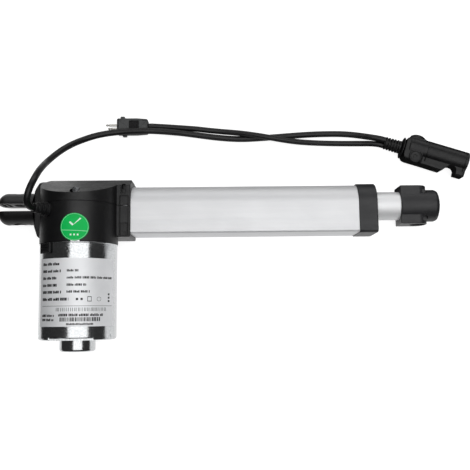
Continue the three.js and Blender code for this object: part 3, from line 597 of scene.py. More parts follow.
# ---- cords ------------------------------------------------------------------------------------
CORD_A = [
    boot_point(44.1), (22.8, -5.75, 67.2), (21.75, -4.95, 69.6), (21.4, -3.4, 72.0), (21.7, -1.2, 74.2), (22.5, 1.7, 75.7),
    (23.6, 5.4, 76.2), (24.9, 9.7, 75.3), (26.1, 14.3, 72.8), (26.9, 18.9, 68.6), (27.4, 23.6, 62.9), (27.9, 28.8, 55.0),
    (28.9, 34.9, 45.0), (33.1, 43.0, 35.5), (39.0, 50.6, 27.5),
    (46.2, 56.7, 21.3), (53.6, 61.0, 17.2), (61.7, 64.4, 14.7), (71.1, 66.6, 13.9), (81.9, 68.1, 13.2), (91.8, 68.8, 13.1),
    (100.5, 69.0, 13.1), (109.1, 69.1, 12.7), (118.1, 69.2, 10.6), (127.9, 69.2, 7.4), (137.4, 69.0, 4.5), (148.0, 67.9, 3.0),
    (159.5, 66.3, 2.8), (170.1, 65.0, 2.8), (180.7, 64.1, 2.8), (191.4, 63.8, 2.8), (203.8, 64.3, 2.8), (217.1, 65.2, 2.8),
    (232.3, 66.3, 2.8), (248.3, 67.3, 2.8), (263.1, 67.7, 2.9), (276.7, 67.4, 3.7), (287.0, 66.2, 5.4), (296.3, 64.2, 8.0),
    (304.4, 62.1, 10.7), relief_point(-18.9, 1.9, 1.95), relief_point(-14.9, 1.9, 2.0),
]
CORD_B = [
    (107.2, 75.5, 4.9), (110.3, 75.6, 4.6), (115.3, 75.5, 3.9), (124.1, 75.2, 2.9), (135.5, 74.4, 2.6), (148.9, 73.3, 2.6),
    (161.3, 71.8, 2.7), (173.7, 70.3, 3.5), (184.3, 68.9, 5.1), (194.8, 67.1, 6.9), (205.3, 65.1, 8.2), (216.7, 62.9, 8.6),
    (228.2, 61.0, 7.9), (238.9, 60.0, 6.2), (249.7, 59.6, 4.3), (260.5, 59.4, 3.0), (273.1, 59.1, 2.6), (285.4, 58.8, 3.1),
    (295.8, 58.3, 4.7), (303.6, 57.7, 6.7), relief_point(-18.9, -2.1, -1.95), relief_point(-14.9, -2.0, -1.9),
]


def catmull(points, n=12):
    """Centripetal Catmull-Rom through the points, n steps between each two."""
    P = [Vector(p) for p in points]
    P = [2 * P[0] - P[1]] + P + [2 * P[-1] - P[-2]]
    out = []
    for i in range(1, len(P) - 2):
        p0, p1, p2, p3 = P[i - 1:i + 3]
        t0 = 0.0
        t1 = t0 + max(1e-6, (p1 - p0).length) ** 0.5
        t2 = t1 + max(1e-6, (p2 - p1).length) ** 0.5
        t3 = t2 + max(1e-6, (p3 - p2).length) ** 0.5
        for k in range(n):
            t = t1 + (t2 - t1) * k / n
            a1 = p0 * ((t1 - t) / (t1 - t0)) + p1 * ((t - t0) / (t1 - t0))
            a2 = p1 * ((t2 - t) / (t2 - t1)) + p2 * ((t - t1) / (t2 - t1))
            a3 = p2 * ((t3 - t) / (t3 - t2)) + p3 * ((t - t2) / (t3 - t2))
            b1 = a1 * ((t2 - t) / (t2 - t0)) + a2 * ((t - t0) / (t2 - t0))
            b2 = a2 * ((t3 - t) / (t3 - t1)) + a3 * ((t - t1) / (t3 - t1))
            out.append(b1 * ((t2 - t) / (t2 - t1)) + b2 * ((t - t1) / (t2 - t1)))
    out.append(P[-2])
    return out


def even(points, step):
    """The same line with its points an even step apart."""
    s = [0.0]
    for a, b in zip(points, points[1:]):
        s.append(s[-1] + (b - a).length)
    n = max(2, round(s[-1] / step))
    out, j = [], 0
    for i in range(n + 1):
        d = s[-1] * i / n
        while j < len(s) - 2 and s[j + 1] < d:
            j += 1
        f = (d - s[j]) / max(1e-9, s[j + 1] - s[j])
        out.append(points[j].lerp(points[j + 1], min(1, f)))
    return out, s[-1]


def sweep(name, line, radius, sides=20):
    """A round tube along a line; radius is a number or a function of the distance along it."""
    verts, faces = [], []
    d = (line[1] - line[0]).normalized()
    n = d.cross(Vector((0, 0, 1)))
    n = n.normalized() if n.length > 0.05 else d.cross(Vector((0, 1, 0))).normalized()
    rings, s = [], 0.0
    for i, p in enumerate(line):
        a, b = line[max(0, i - 1)], line[min(len(line) - 1, i + 1)]
        t = (b - a).normalized()
        n = (n - t * n.dot(t)).normalized()
        m = t.cross(n)
        if i:
            s += (p - line[i - 1]).length
        r = radius(s) if callable(radius) else radius
        ring_ = []
        for k in range(sides):
            w = k / sides * math.tau
            ring_.append(len(verts))
            verts.append(p + n * (r * math.cos(w)) + m * (r * math.sin(w)))
        rings.append(ring_)
    for A, B in zip(rings, rings[1:]):
        for k in range(sides):
            l = (k + 1) % sides
            faces.append((A[k], A[l], B[l], B[k]))
    faces.append(tuple(rings[0]))
    faces.append(tuple(rings[-1]))
    return mesh_object(name, verts, faces)


line_a, len_a = even(catmull(CORD_A), 1.6)
line_b, len_b = even(catmull(CORD_B), 1.6)
line_b.reverse()
cord_a = finish_piece(sweep("cord_a", line_a, 2.65), "motor_lead", "actuator_body", M_PVC, ["motor_cord"])
cord_b = finish_piece(sweep("cord_b", line_b, 2.45), "plug_lead", "actuator_body", M_PVC, ["plug_cord"])

# ---- cord boot on the gear housing ----------------------------------------------------------------
BOOT = Matrix.Translation((MX, BOOT_Y, MZ)) @ Matrix.Rotation(BOOT_T, 4, "Y")
p = [(0, 29.6), (5.8, 29.6), (5.8, 33.2), (4.4, 33.7), (4.4, 34.7), (5.3, 35.1), (5.3, 36.9), (3.9, 37.3), (3.9, 38.4),
     (4.6, 38.8), (4.6, 40.3), (3.4, 40.7), (3.4, 41.5), (3.9, 41.9), (3.75, 43.4), (3.3, 43.8), (0, 43.8)]
boot = move(lathe("Z", soft(p, 0.35, n=3), 0, 0, 56), BOOT)
boot = finish_piece(boot, "lead_boot", "actuator_body", M_BOOT, ["cable_boot"])

# ---- handset connector -------------------------------------------------------------------------------
BV, BW, BR = 3.1, 9.8, 9.4


def arc(cu, cv, r, d0, d1, n):
    return [(cu + r * math.cos(math.radians(d0 + (d1 - d0) * i / n)), cv + r * math.sin(math.radians(d0 + (d1 - d0) * i / n)))
            for i in range(n + 1)]


barrel = lathe("X", soft([(0, 6), (BR, 6), (BR, 58.6), (0, 58.6)], 0.7, n=4), BV, BW, 96)
fin = slab("Z", soft([(2.4, -6.2), (4.4, -9.2), (7.6, -10.5), (37.4, -11.0), (58.2, -11.0), (58.6, -3), (58.6, 6), (2.4, 6)],
                     1.0, True, 4), 3.6, 16, 1.6, 4)
hood = slab("X", soft([(-10.7, 1.4), (12.2, 1.4), (12.2, 17.6), (-10.7, 17.6)], 4.6, True, 8), 2.4, 19.4, 1.0, 4)
hood_plan = slab("Z", soft([(2.4, -6.2), (4.4, -9.2), (7.6, -10.5), (19.6, -10.7), (19.6, 12.4), (7, 11.0), (2.4, 7.8)],
                           1.6, True, 5), 0, 20)
common(hood, hood_plan)
boss = lathe("Z", soft([(0, 12), (5.6, 12), (5.6, 17.9), (5.1, 18.4), (4.3, 18.4), (4.1, 17.8), (0, 17.8)], 0.3, n=3), 12.8, -6.0, 64)
dome = lathe("Y", soft([(0, 6), (6.8, 6), (6.8, 11.9), (6.2, 13.2), (4.4, 14.2), (0, 14.6)], 0.8, n=4), 12.4, BW, 64)
body = join(barrel, fin, hood, boss, dome)
cutters = [
    lathe("X", [(0, 38), (6.6, 38), (6.6, 57.9), (7.2, 58.7), (7.2, 60), (0, 60)], BV, BW, 64),
    slab("Z", [(37.4, -14), (37.4, -11.0), (41.5, -6.9)] + arc(46.0, -8.1, 4.5, 135, 15, 12) + [(50.6, -14)], -2, 25),
    rod("X", 5.0, 1, 4, 0, 10, 48),
    # keyways inside the socket mouth, seam round the hood, and a flute along the barrel
    box(52, 60, BV - 1.1, BV + 1.1, BW + 5.8, BW + 7.6),
    tube("X", 12, 9.1, 21.6, 22.3, BV, BW, 64, 0),
    tube("X", 12, 9.1, 55.4, 55.9, BV, BW, 64, 0),
]
for i in range(5):
    cutters.append(box(25.5 + i * 1.9, 26.4 + i * 1.9, 9.2 + BV - 0.35, 14, BW - 4.2, BW + 4.2))
cut(body, *cutters)
cut(body, rod("Z", 1.6, 17.2, 19.0, 12.8, -6.0, 24))
bevel(body, 0.35, 2, 38)
connector = finish_piece(move(body, CONN), "handset_connector", "actuator_body", M_CONNECTOR,
                         ["connector_body"])
insert = rod("X", 6.3, 38.4, 43.4, BV, BW, 64, 0.4)
cut(insert, *[rod("X", 1.1, 42.6, 44, BV + 4.2 * math.cos(math.radians(-90 + (i - 2) * 45)),
                  BW + 4.2 * math.sin(math.radians(-90 + (i - 2) * 45)), 24) for i in range(5)])
insert = finish_piece(move(insert, CONN), "socket_insert", "actuator_body", M_SWITCH, ["connector_insert"])
for i in range(5):
    t = math.radians(-90 + (i - 2) * 45)
    c = lathe("X", soft([(0, 43.7), (0.7, 43.7), (0.7, 53), (0.4, 53.8), (0, 53.95)], 0.15, n=3), BV + 4.2 * math.cos(t), BW + 4.2 * math.sin(t), 20)
    finish_piece(move(c, CONN), f"socket_contact_{i + 1}", "actuator_body", M_BRASS,
                                 [f"connector_contact_{i + 1}"])
col = lathe("X", soft([(0, 0.5), (8.7, 0.5), (9.4, 0.8), (9.4, 1.4), (8.7, 1.7), (4.7, 1.7), (4.7, 3.6), (0, 3.6)], 0.25, n=3), 0, 10, 72)
collar = finish_piece(move(col, CONN), "connector_collar_ring", "actuator_body", M_BOOT, ["connector_collar"])

# open-web strain relief: rings on a core, joined by staggered bridges
core = lathe("X", [(0, -0.6), (3.7, -0.6), (3.5, -15.1), (0, -15.1)], 0, 0, 40)
webs = [lathe("X", soft([(3.0, -0.6), (5.6, -0.6), (5.6, -2.2), (3.0, -2.2)], 0.3, True, 3), 0, 0, 56, True)]
for i in range(5):
    a = -3.5 - i * 2.55
    ro = 5.75 - i * 0.06
    webs.append(lathe("X", soft([(3.0, a + 0.6), (ro, a + 0.6), (ro, a - 0.65), (3.0, a - 0.65)], 0.35, True, 3), 0, 0, 56, True))
for i in range(5):
    a = -2.9 - i * 2.55 + (0.5 if i == 0 else 0.9)
    for q in range(4 if i % 2 else 6):
        b = box(a - 2.4, a + 0.5, -0.65, 0.65, 3.0, 5.1 - i * 0.05)
        move(b, Matrix.Rotation(math.radians(90 * q + 45 if i % 2 else 60 * q), 4, "X"))
        webs.append(b)
join(core, *webs)
trim = rod("X", 7, -15.4, -0.6, 0, 0, 32)
common(core, trim)
bevel(core, 0.18, 1, 40)
relief = finish_piece(move(core, RELIEF), "lead_strain_relief", "actuator_body", M_BOOT, ["connector_strain_relief"])

# ---- two-pin plug --------------------------------------------------------------------------------------
X0, X1, YC, ZC = 79.6, 106.9, 74.9, 5.1
plan = soft([(X0, YC - 6.0), (X0 + 1, YC - 6.9), (97, YC - 6.9), (X1 - 1, YC - 6.2), (X1, YC - 5.2), (X1, YC + 5.2),
             (X1 - 1, YC + 6.2), (97, YC + 6.9), (X0 + 1, YC + 6.9), (X0, YC + 6.0)], 0.8, True, 4)
plug = slab("Z", plan, 0.2, 9.8, 1.5, 5)
join(plug, slab("Z", rounded(82.6, 86.4, YC + 5, YC + 9.0, 0.8), 2.6, 7.4, 0.5), slab("Z", rounded(84.4, 88.2, YC - 8.9, YC - 5, 0.8), 2.6, 7.4, 0.5))
cutters = [slab("Z", rounded(90.3, 99.1, YC - 3.4, YC + 4.7, 0.7), 9.25, 12)]
cutters += [box(91 + i * 1.55, 92.0 + i * 1.55, YC - 3.0, YC + 4.3, 8.5, 11) for i in range(5)]
cutters += [slab("Z", rounded(90.3, 99.1, YC - 3.4, YC + 4.7, 0.7), -1, 0.6)]
cutters += [rod("X", 1.35, X0 - 1, X0 + 4, YC + 1.6, ZC, 32), rod("X", 1.35, X0 - 1, X0 + 4, YC - 1.6, ZC, 32),
            rod("X", 2.35, X1 - 1.2, X1 + 1, YC + 0.6, ZC - 0.2, 40)]
# parting line round the middle of the plug
cutters += [box(X0 - 1, X1 + 1, YC + 6.75, YC + 7.4, ZC - 0.12, ZC + 0.12), box(X0 - 1, X1 + 1, YC - 7.4, YC - 6.75, ZC - 0.12, ZC + 0.12)]
cut(plug, *cutters)
bevel(plug, 0.22, 2, 38)
grip = slab("Z", rounded(90.5, 98.9, YC - 3.2, YC + 4.5, 0.6), 9.0, 9.45)
cut(grip, *[box(91 + i * 1.55, 92.0 + i * 1.55, YC - 2.9, YC + 4.2, 9.2, 11) for i in range(5)])
grip = finish_piece(grip, "plug_grip_inset", "actuator_body", M_GRIP)
plug = finish_piece(plug, "plug_shell", "actuator_body", M_PLUG, ["plug_body"])
for i, y, tip in ((1, YC + 1.6, 69.7), (2, YC - 1.6, 71.5)):
    prof = [(0, tip), (0.62, tip + 0.12), (1.0, tip + 0.8), (1.0, tip + 1.3), (0.62, tip + 2.0), (0.62, tip + 2.3), (1, tip + 3.0),
            (1, X0 + 3.6), (0, X0 + 3.6)]
    finish_piece(lathe("X", soft(prof, 0.3, n=3), y, ZC, 28), f"plug_prong_{i}", "actuator_body", M_NICKEL,
                             [f"plug_pin_{i}"])

# ---- gear housing -----------------------------------------------------------------------------------------
drum = lathe("Y", soft([(0, RIM), (DRUM_R, RIM), (DRUM_R, TOP + 3), (0, TOP + 3)], 0.5, n=3), MX, MZ, 180)
shoulder = slab("X", soft([(RIM - 3, -3), (23.3, -3), (TOP, 1.5), (TOP, 17), (6.6, 63), (6, 72), (RIM - 3, 72)], 1.6, True, 5), -5, 120)
plate_plan = soft([(14.4, 13.5), (14.4, -16), (17.1, -24.2), (19.6, -26.3), (40, -26.3), (40, 22.5), (19.5, 22.5), (16, 17)], 1.6, True, 5)
plate = slab("Z", plate_plan, 1.2, 28, 1.0, 4)
fl1 = slab("X", soft([(-26.3, 0.5), (TOP, 0.5), (TOP, 36.5), (-26.3, 36.5)], 1.4, True, 5), 70, 93.4 + 1.2, 1.0, 4)
fl2 = slab("X", soft([(-26.3, 0.5), (TOP - 2.4, 0.5), (TOP - 2.4, 36.5), (-26.3, 36.5)], 1.6, True, 5), 91, 95.8, 0.9, 4)
lips = [box(86.75, 87.3, -25.0, 8.0, 36, 36.75, 0.15), box(93.8, 94.35, -25.0, 8.0, 36, 36.75, 0.15),
        slab("Z", rounded(87.6, 92.7, 8.7, 19.5, 2.5), 36, 36.7, 0.2)]
housing = join(drum, plate, fl1, fl2, *lips)
common(housing, shoulder)
holes = [
    rod("Y", 28.6, RIM - 1, -22, MX, MZ, 96), rod("Y", 6.4, -24, 11, MX, MZ, 48), rod("Y", 5.2, 10, 15.6, MX, MZ, 40),
    rod("X", 12, 43, 64, 0, SZ, 64), rod("X", 11.3, 63.5, 73, 0, SZ, 64), rod("X", 8.2, 30, 97, 0, SZ, 48),
    rod("X", 9.3, 13, 36, 0, SZ, 64), rod("X", 11.3, 22, 28, 0, SZ, 64),
    slab("X", arch(16.9 + GAP, 18 + GAP, -23.5 - GAP, 2), 90 - GAP, 97),
    box(74, 92, -21, -10, 11, 24), rod("Y", 4, -24, -10, 77, SZ, 32),
    # channel, deeper pocket and screw slot in the top of the flange
    box(87.35, 93.75, -25.0, 8, 35.2, 40), box(87.9, 93.2, -24.6, -14.6, 34.75, 40),
    slab("Z", rounded(88.5, 91.8, 9.6, 18.6, 1.62, 8), 32.7, 50), slab("Z", rounded(88.5, 91.8, 13.8, 18.6, 1.62, 8), 29.4, 50),
    # upright screw recess in the sloping face
    rod("Z", 3.75, 49, 80, 54, 10, 48),
    box(43.5, 48.5, TOP - 0.9, TOP + 2, 22, 26), box(52.8, 60.4, RIM - 1, RIM + 1.7, 55, 70),
    # shallow relief panels in the side faces of the flange foot
    slab("X", rounded(-20.5, -4, 5, 11, 1.2), 95.3, 97),
    move(rod("Z", 3.4, 22, 40, 0, 0, 40), BOOT), move(rod("Z", 6.2, 29.2, 40, 0, 0, 56), BOOT),
]
for x, y, z in ((28, 22.5, 9), (54, TOP, 8), (83, TOP, 9)):
    holes.append(rod("Y", 3.4, y - 3, y + 2, x, z, 40))
cut(housing, *holes)
# stiffening ribs on the rear plate's shoulder
ribs = [box(16.3 + 0 * i, 21.5, -24.6 + i * 2.1, -23.7 + i * 2.1, 27, 28.7) for i in range(4)]
common_plan = slab("Z", inset(plate_plan, 0.3), 26, 30)
rib = join(ribs[0], *ribs[1:])
common(rib, common_plan)
join(housing, rib)
bevel(housing, 0.4, 2, 33)
upper = housing
lower = copy(housing)
common(upper, box(-10, 130, GAP / 2, 60, -5, 90))
common(lower, box(-10, 130, -60, -GAP / 2, -5, 90))
for o, name, node in ((upper, "gear_housing_upper", "upper_gear_housing"), (lower, "gear_housing_lower", "lower_gear_housing")):
    finish_piece(o, name, "actuator_body", M_HOUSING, [node])


def cross_head(axis, c1, c2, z_top, size, depth):
    """Two slots of a cross recess, cut from the head's top."""
    a = {"Z": ((-size, size, -0.35, 0.35), (-0.35, 0.35, -size, size))}
    out = []
    for u0, u1, v0, v1 in a["Z"]:
        pts = [(c1 + u0, c2 + v0), (c1 + u1, c2 + v0), (c1 + u1, c2 + v1), (c1 + u0, c2 + v1)]
        lo, hi = (z_top - depth, z_top + 1) if depth > 0 else (z_top - 1, z_top - depth)
        out.append(slab(axis, pts, lo, hi))
    return out


for i, (x, y, z) in enumerate(((28, 22.5, 9), (54, TOP, 8), (83, TOP, 9))):
    s = lathe("Y", soft([(0, y - 2.7), (3, y - 2.7), (3, y - 1.2), (2.4, y - 0.6), (0, y - 0.3)], 0.3, n=3), x, z, 40)
    cut(s, *cross_head("Y", x, z, y - 0.3, 1.6, 1.4))
    finish_piece(s, f"case_screw_{i + 1}", "actuator_body", M_SCREW, [f"shell_screw_{i + 1}"])
s = lathe("Z", soft([(0, 49.3), (3.3, 49.3), (3.3, 51.4), (2.4, 52.1), (0, 52.3)], 0.3, n=3), 54, 10, 48)
cut(s, *cross_head("Z", 54, 10, 52.3, 1.9, 1.6))
finish_piece(s, "case_screw_top", "actuator_body", M_SCREW, ["housing_screw"])

# ---- rear fork ------------------------------------------------------------------------------------------------
prof = [(0, -17.2), (5.5, -17.2)]
for i in range(1, 13):
    t = math.pi / 2 * i / 12
    prof.append((5.5 + 8 * math.sin(t), -17.2 + 8 - 8 * math.cos(t)))
prof += [(13.5, 13.7), (9, 13.7), (9, 22.4), (11, 22.4), (11, 27.6), (9, 27.6), (9, 35.5), (0, 35.5)]
fork = lathe("X", soft(prof, 0.5, n=3, least=40), 0, SZ, 120)
cutters = [box(-18.2, 12.4, -3.2, 3.2, -5, 40),
           lathe("Y", [(0, -20), (5, -20), (5, 20), (0, 20)], 0, SZ, 72),
           rod("X", 4.4, 31, 40, 0, SZ, 48),
           box(-9, 9, 13.0, 20, 5, 30), box(-9, 9, -20, -13.0, 5, 30)]
# cored pockets on the prongs' inner faces, either side of the pin, seen through the slot
for s_ in (-1, 1):
    for a, b in ((-14.6, -11.2), (-10.2, -7.0), (7.0, 10.6)):
        cutters.append(box(a, b, min(s_ * 3.0, s_ * 4.6), max(s_ * 3.0, s_ * 4.6), SZ - 5.2, SZ + 5.2))
    for a in (-12.9, -8.6, 8.8):
        cutters.append(box(a - 1.2, a + 1.2, min(s_ * 3.0, s_ * 4.4), max(s_ * 3.0, s_ * 4.4), SZ + 6.6, SZ + 10.4))
cut(fork, *cutters)
bevel(fork, 0.4, 2, 35)
finish_piece(fork, "rear_clevis", "actuator_body", M_HOUSING, ["rear_fork"])

# ---- outer tube, end cap, guide ----------------------------------------------------------------------------------
t_out = slab("X", arch(16.9, 18.0, -23.5, 2.0, 96, (-11.8, -15.6, -20.2), 0.1), 90, 293.2)
t_in = slab("X", arch(14.9, 16.0, -21.5, 1.0, 64), 89, 294.2)
cut(t_out, t_in)
finish_piece(t_out, "extruded_tube", "actuator_body", M_ALU, ["outer_tube"], 24)

cap = slab("X", arch(17.5, 19.2, -24.2, 2.6, 96), 285.2, 301.2, 0.9, 5)
cutters = [slab("X", arch(16.9 + GAP, 18 + GAP, -23.5 - GAP, 2, 96), 284.2, 293.5),
           rod("X", 15.2, 285.2, 299.6, 0, SZ, 96), lathe("X", [(0, 285), (12.7, 285), (12.7, 300.6), (13.3, 301.3), (13.3, 302), (0, 302)], 0, SZ, 96),
           rod("X", 1.6, 285.2, 302.2, -19.6, 28, 32), rod("X", 1.6, 285.2, 302.2, -19.6, 7, 32),
           rod("X", 3.1, 301.0, 302.2, -19.6, 28, 40), rod("X", 3.1, 301.0, 302.2, -19.6, 7, 40)]
cut(cap, *cutters)
bevel(cap, 0.3, 2, 38)
finish_piece(cap, "front_end_cap", "actuator_body", M_CHARCOAL, ["end_cap"])
g = lathe("X", soft([(12.3, 278), (14.5, 278), (14.5, 293.4), (14.9, 293.8), (14.9, 299.2), (12.3, 299.2)], 0.3, True, 3), 0, SZ, 96, True)
finish_piece(g, "rod_guide_bush", "actuator_body", M_POM, ["rod_guide"])
for i, z in ((1, 28), (2, 7)):
    s = lathe("X", soft([(0, 294.2), (1.3, 294.2), (1.3, 301.4), (2.8, 301.4), (2.7, 302.1), (0, 302.5)], 0.25, n=3), -19.6, z, 40)
    cut(s, *cross_head("X", -19.6, z, 302.5, 1.5, 1.0))
    finish_piece(s, f"end_cap_screw_{i}", "actuator_body", M_SCREW, [f"cap_screw_{i}"])

# ---- rod and head -------------------------------------------------------------------------------------------------
r = tube("X", 12, 10, 116.3, 334, 0, SZ, 120, 0.3)
finish_piece(r, "rod_tube", "rod", M_ROD, ["inner_tube"])
head = lathe("X", soft([(0, 322), (13.2, 322), (13.6, 322.6), (13.6, 351.8), (12.7, 354.1), (10.4, 355), (0, 355)], 1.0, n=4), 0, SZ, 120)
ear = [(322, SZ - 10.4), (337.4, SZ - 10.4)]
for i in range(1, 24):
    t = -math.pi / 2 + math.pi * i / 24
    ear.append((337.4 + 8.2 * math.cos(t), SZ + 10.4 * math.sin(t)))
ear += [(337.4, SZ + 10.4), (322, SZ + 10.4)]
join(head, slab("Y", soft(ear, 0.8, True, 4, 40), -16.3, 16.3, 0.6, 3))
cutters = [rod("X", 12.3, 321, 334.3, 0, SZ, 96), lathe("Y", [(0, -20), (5, -20), (5, 20), (0, 20)], PIN, SZ, 72),
           lathe("Y", [(0, -17.3), (7.8, -17.3), (6.5, -16.0), (6.5, -14.2), (0, -14.2)], PIN, SZ, 72),
           lathe("Y", [(0, 17.3), (7.8, 17.3), (6.5, 16.0), (6.5, 14.2), (0, 14.2)], PIN, SZ, 72)]
# round pockets between the barrel and the ears' ends
for side in (-1, 1):
    cutters += [rod("Z", 2.4, SZ + 5.2, 40, 342.8, side * 11.7, 32), rod("Z", 2.4, -2, SZ - 5.2, 342.8, side * 11.7, 32)]
cut(head, *cutters)
bevel(head, 0.3, 2, 36)
finish_piece(head, "rod_end_head", "rod", M_CHARCOAL, ["rod_head"])

# ---- motor -----------------------------------------------------------------------------------------------------------
o_, i_ = CAN_R, CAN_R - 1.5
prof = [(i_, RIM - GAP), (o_ + 0.5, RIM - GAP), (o_ + 0.5, RIM - 0.9), (o_, RIM - 1.1), (o_, CAN_END + 1.6), (o_ - 0.5, CAN_END + 0.5), (o_ - 1.5, CAN_END), (16.2, CAN_END),
        (16.2, CAN_END + 1.5), (i_, CAN_END + 1.5)]
can = lathe("Y", soft(prof, 0.5, True, 4), MX, MZ, 180, True)
tab = lathe("Y", [(i_, RIM - 2), (o_, RIM - 2), (o_, RIM + 1.4), (i_, RIM + 1.4)], MX, MZ, 180, True)
common(tab, box(53.2, 60, -50, 0, 40, 80))
join(can, tab)


def radial_box(deg, r0, r1, y0, y1, half, r=0.0):
    b = box(-half, half, y0, y1, r0, r1, r)
    return move(b, Matrix.Translation((MX, 0, MZ)) @ Matrix.Rotation(math.radians(deg), 4, "Y"))


cutters = [box(MX - 17.6, MX + 17.6, CAN_END - 1, CAN_END + 2.4, MZ + 24, 80), box(MX - 17.6, MX + 17.6, CAN_END - 1, CAN_END + 2.4, -10, MZ - 24),
           radial_box(-41, 25.5, 40, -40.6, -33.2, 5.6)]
for d in (66, -66, 114, -114):
    cutters.append(radial_box(d, 30.5, 33, CAN_END + 2.6, CAN_END + 4.2, 1.1))
cut(can, *cutters)
bevel(can, 0.3, 2, 38)
finish_piece(can, "motor_shell", "actuator_body", M_ZINC, ["motor_can"])
prof = [(20, CAN_END + 2.2), (20, CAN_END + 3.4), (9, CAN_END + 3.4), (9, BOSS_END + 2), (0.01, BOSS_END + 2), (0.01, BOSS_END),
        (12.7, BOSS_END), (13.9, BOSS_END + 0.5), (14.3, BOSS_END + 1.7), (14.3, CAN_END + 2.2)]
cup = lathe("Y", soft(prof[:5] + prof[5:], 0.6, True, 4), MX, MZ, 120, True)
cut(cup, lathe("Y", soft([(0, BOSS_END - 1), (5.2, BOSS_END - 1), (5.2, BOSS_END + 0.6), (0, BOSS_END + 0.6)], 0.3, n=3), MX, MZ, 64),
    tube("Y", 16, 14.05, CAN_END - 3.6, CAN_END - 2.6, MX, MZ, 96, 0))
bevel(cup, 0.2, 2, 38)
finish_piece(cup, "motor_end_cup", "actuator_body", M_ZINC, ["motor_bearing_cup"])
term = radial_box(-41, 28.9, 31.6, -40.2, -33.6, 5.2)
pad = radial_box(-41, 31.35, 33.3, -41.2, -32.6, 6.2, 0.8)
join(term, pad, *[radial_box(-41, 33.0, 33.75, -40.0 + i * 1.9, -39.0 + i * 1.9, 4.6, 0.3) for i in range(4)])
bevel(term, 0.2, 2, 38)
finish_piece(term, "brush_lead_grommet", "actuator_body", M_BOOT, ["brush_terminal"])

# ---- labels ---------------------------------------------------------------------------------------------------------------


def wrap(s, r, y, base_r):
    """A point a distance s round the motor from its top, at radius r."""
    t = s / base_r
    return (MX + r * math.sin(t), y, MZ + r * math.cos(t))


def patch(name, blocks, r0, r1, base_r, step=1.2):
    """Thin closed blocks that follow the motor's surface: (s0, s1, y0, y1) each."""
    verts, faces = [], []
    for s0, s1, y0, y1 in blocks:
        n = max(1, math.ceil((s1 - s0) / step))
        k = len(verts)
        for i in range(n + 1):
            s = s0 + (s1 - s0) * i / n
            for rr, yy in ((r0, y0), (r1, y0), (r1, y1), (r0, y1)):
                verts.append(wrap(s, rr, yy, base_r))
        for i in range(n):
            a, b = k + 4 * i, k + 4 * (i + 1)
            for q in range(4):
                w = (q + 1) % 4
                faces.append((a + q, a + w, b + w, b + q))
        faces.append((k, k + 1, k + 2, k + 3))
        faces.append(tuple(k + 4 * n + q for q in range(4)))
    return mesh_object(name, verts, faces)


LR = 31.5
lab = patch("label", [(-math.radians(55) * LR, math.radians(72) * LR, -98.6, -45.4)], CAN_R + 0.15, CAN_R + 0.4, LR, 0.8)
bevel(lab, 0.06, 1, 60)
finish_piece(lab, "rating_plate_film", "actuator_body", M_LABEL, ["rating_label"])

# generic print: rows of short plain blocks, a rule, a row of bars
rng = random.Random(7)
blocks = []


def words(s0, s1, y, h, lo=0.7, hi=1.5, gap=0.28, word=4.5, fill=1.0):
    s, w = s0, 0.0
    while s < s1:
        b = min(rng.uniform(lo, hi), s1 - s)
        if b > 0.3:
            top = rng.choice((0.0, 0.0, 0.22)) * h
            blocks.append((s, s + b, y - h / 2, y + h / 2 - top))
        s += b + gap
        w += b + gap
        if w > word:
            s += 0.8
            w = 0.0


def label_y(v):      # v 0 at the film's housing end, 1 at the far end
    return -45.4 - v * 53.2


LEFT, COL = -26.2, -2.5
words(LEFT, -8.2, label_y(0.085), 2.2, 0.9, 1.6, 0.2)
for v, a, b in ((0.19, -7.4, 6.4), (0.293, -11.2, 36.8), (0.398, -10.4, 12.5), (0.498, -6.9, 15.3)):
    words(LEFT, a, label_y(v), 2.1, 0.8, 1.4, 0.2)
    words(COL, b, label_y(v - 0.006), 1.8, 0.5, 1.1, 0.22)
words(LEFT, -0.9, label_y(0.602), 2.2, 0.9, 1.5, 0.2)
# plain marks in place of the icons: two solid squares, a square outline, a ring of dots, a column of dots
for s0 in (4.8, 8.3):
    blocks.append((s0, s0 + 1.7, label_y(0.618), label_y(0.586)))
for s0 in (13.6,):
    blocks += [(s0, s0 + 0.4, label_y(0.63), label_y(0.565)), (s0 + 2.9, s0 + 3.3, label_y(0.63), label_y(0.565)),
               (s0, s0 + 3.3, label_y(0.573), label_y(0.563)), (s0, s0 + 3.3, label_y(0.638), label_y(0.628))]
for q in range(8):
    t = q / 8 * math.tau
    blocks.append((23.2 + 1.7 * math.cos(t) - 0.3, 23.2 + 1.7 * math.cos(t) + 0.3, label_y(0.602) + 1.5 * math.sin(t) - 0.25, label_y(0.602) + 1.5 * math.sin(t) + 0.25))
for v in (0.53, 0.58, 0.63):
    blocks.append((32.2, 34.2, label_y(v + 0.014), label_y(v - 0.014)))
blocks.append((LEFT - 0.6, 37.8, label_y(0.703), label_y(0.698)))
# a wide row of thin strokes
s = -11.0
while s < 30.6:
    blocks.append((s, s + 0.36, label_y(0.778), label_y(0.726)))
    s += rng.choice((1.1, 1.4, 1.7))
words(LEFT, -12.9, label_y(0.838), 1.9, 0.7, 1.3, 0.2)
words(-8.9, 27.0, label_y(0.832), 2.0, 0.7, 1.2, 0.24, 7)
words(LEFT, -13.2, label_y(0.9), 1.9, 0.7, 1.3, 0.2)
s = -7.7
while s < 24.0:
    w = rng.choice((0.36, 0.36, 0.7, 1.0))
    blocks.append((s, s + w, label_y(0.925), label_y(0.866)))
    s += w + rng.choice((0.34, 0.34, 0.62))
words(-2.4, 18.6, label_y(0.963), 1.5, 0.6, 1.0, 0.26, 99)
pr = patch("print", blocks, CAN_R + 0.38, CAN_R + 0.44, LR, 1.2)
finish_piece(pr, "rating_plate_print", "actuator_body", M_PRINT)


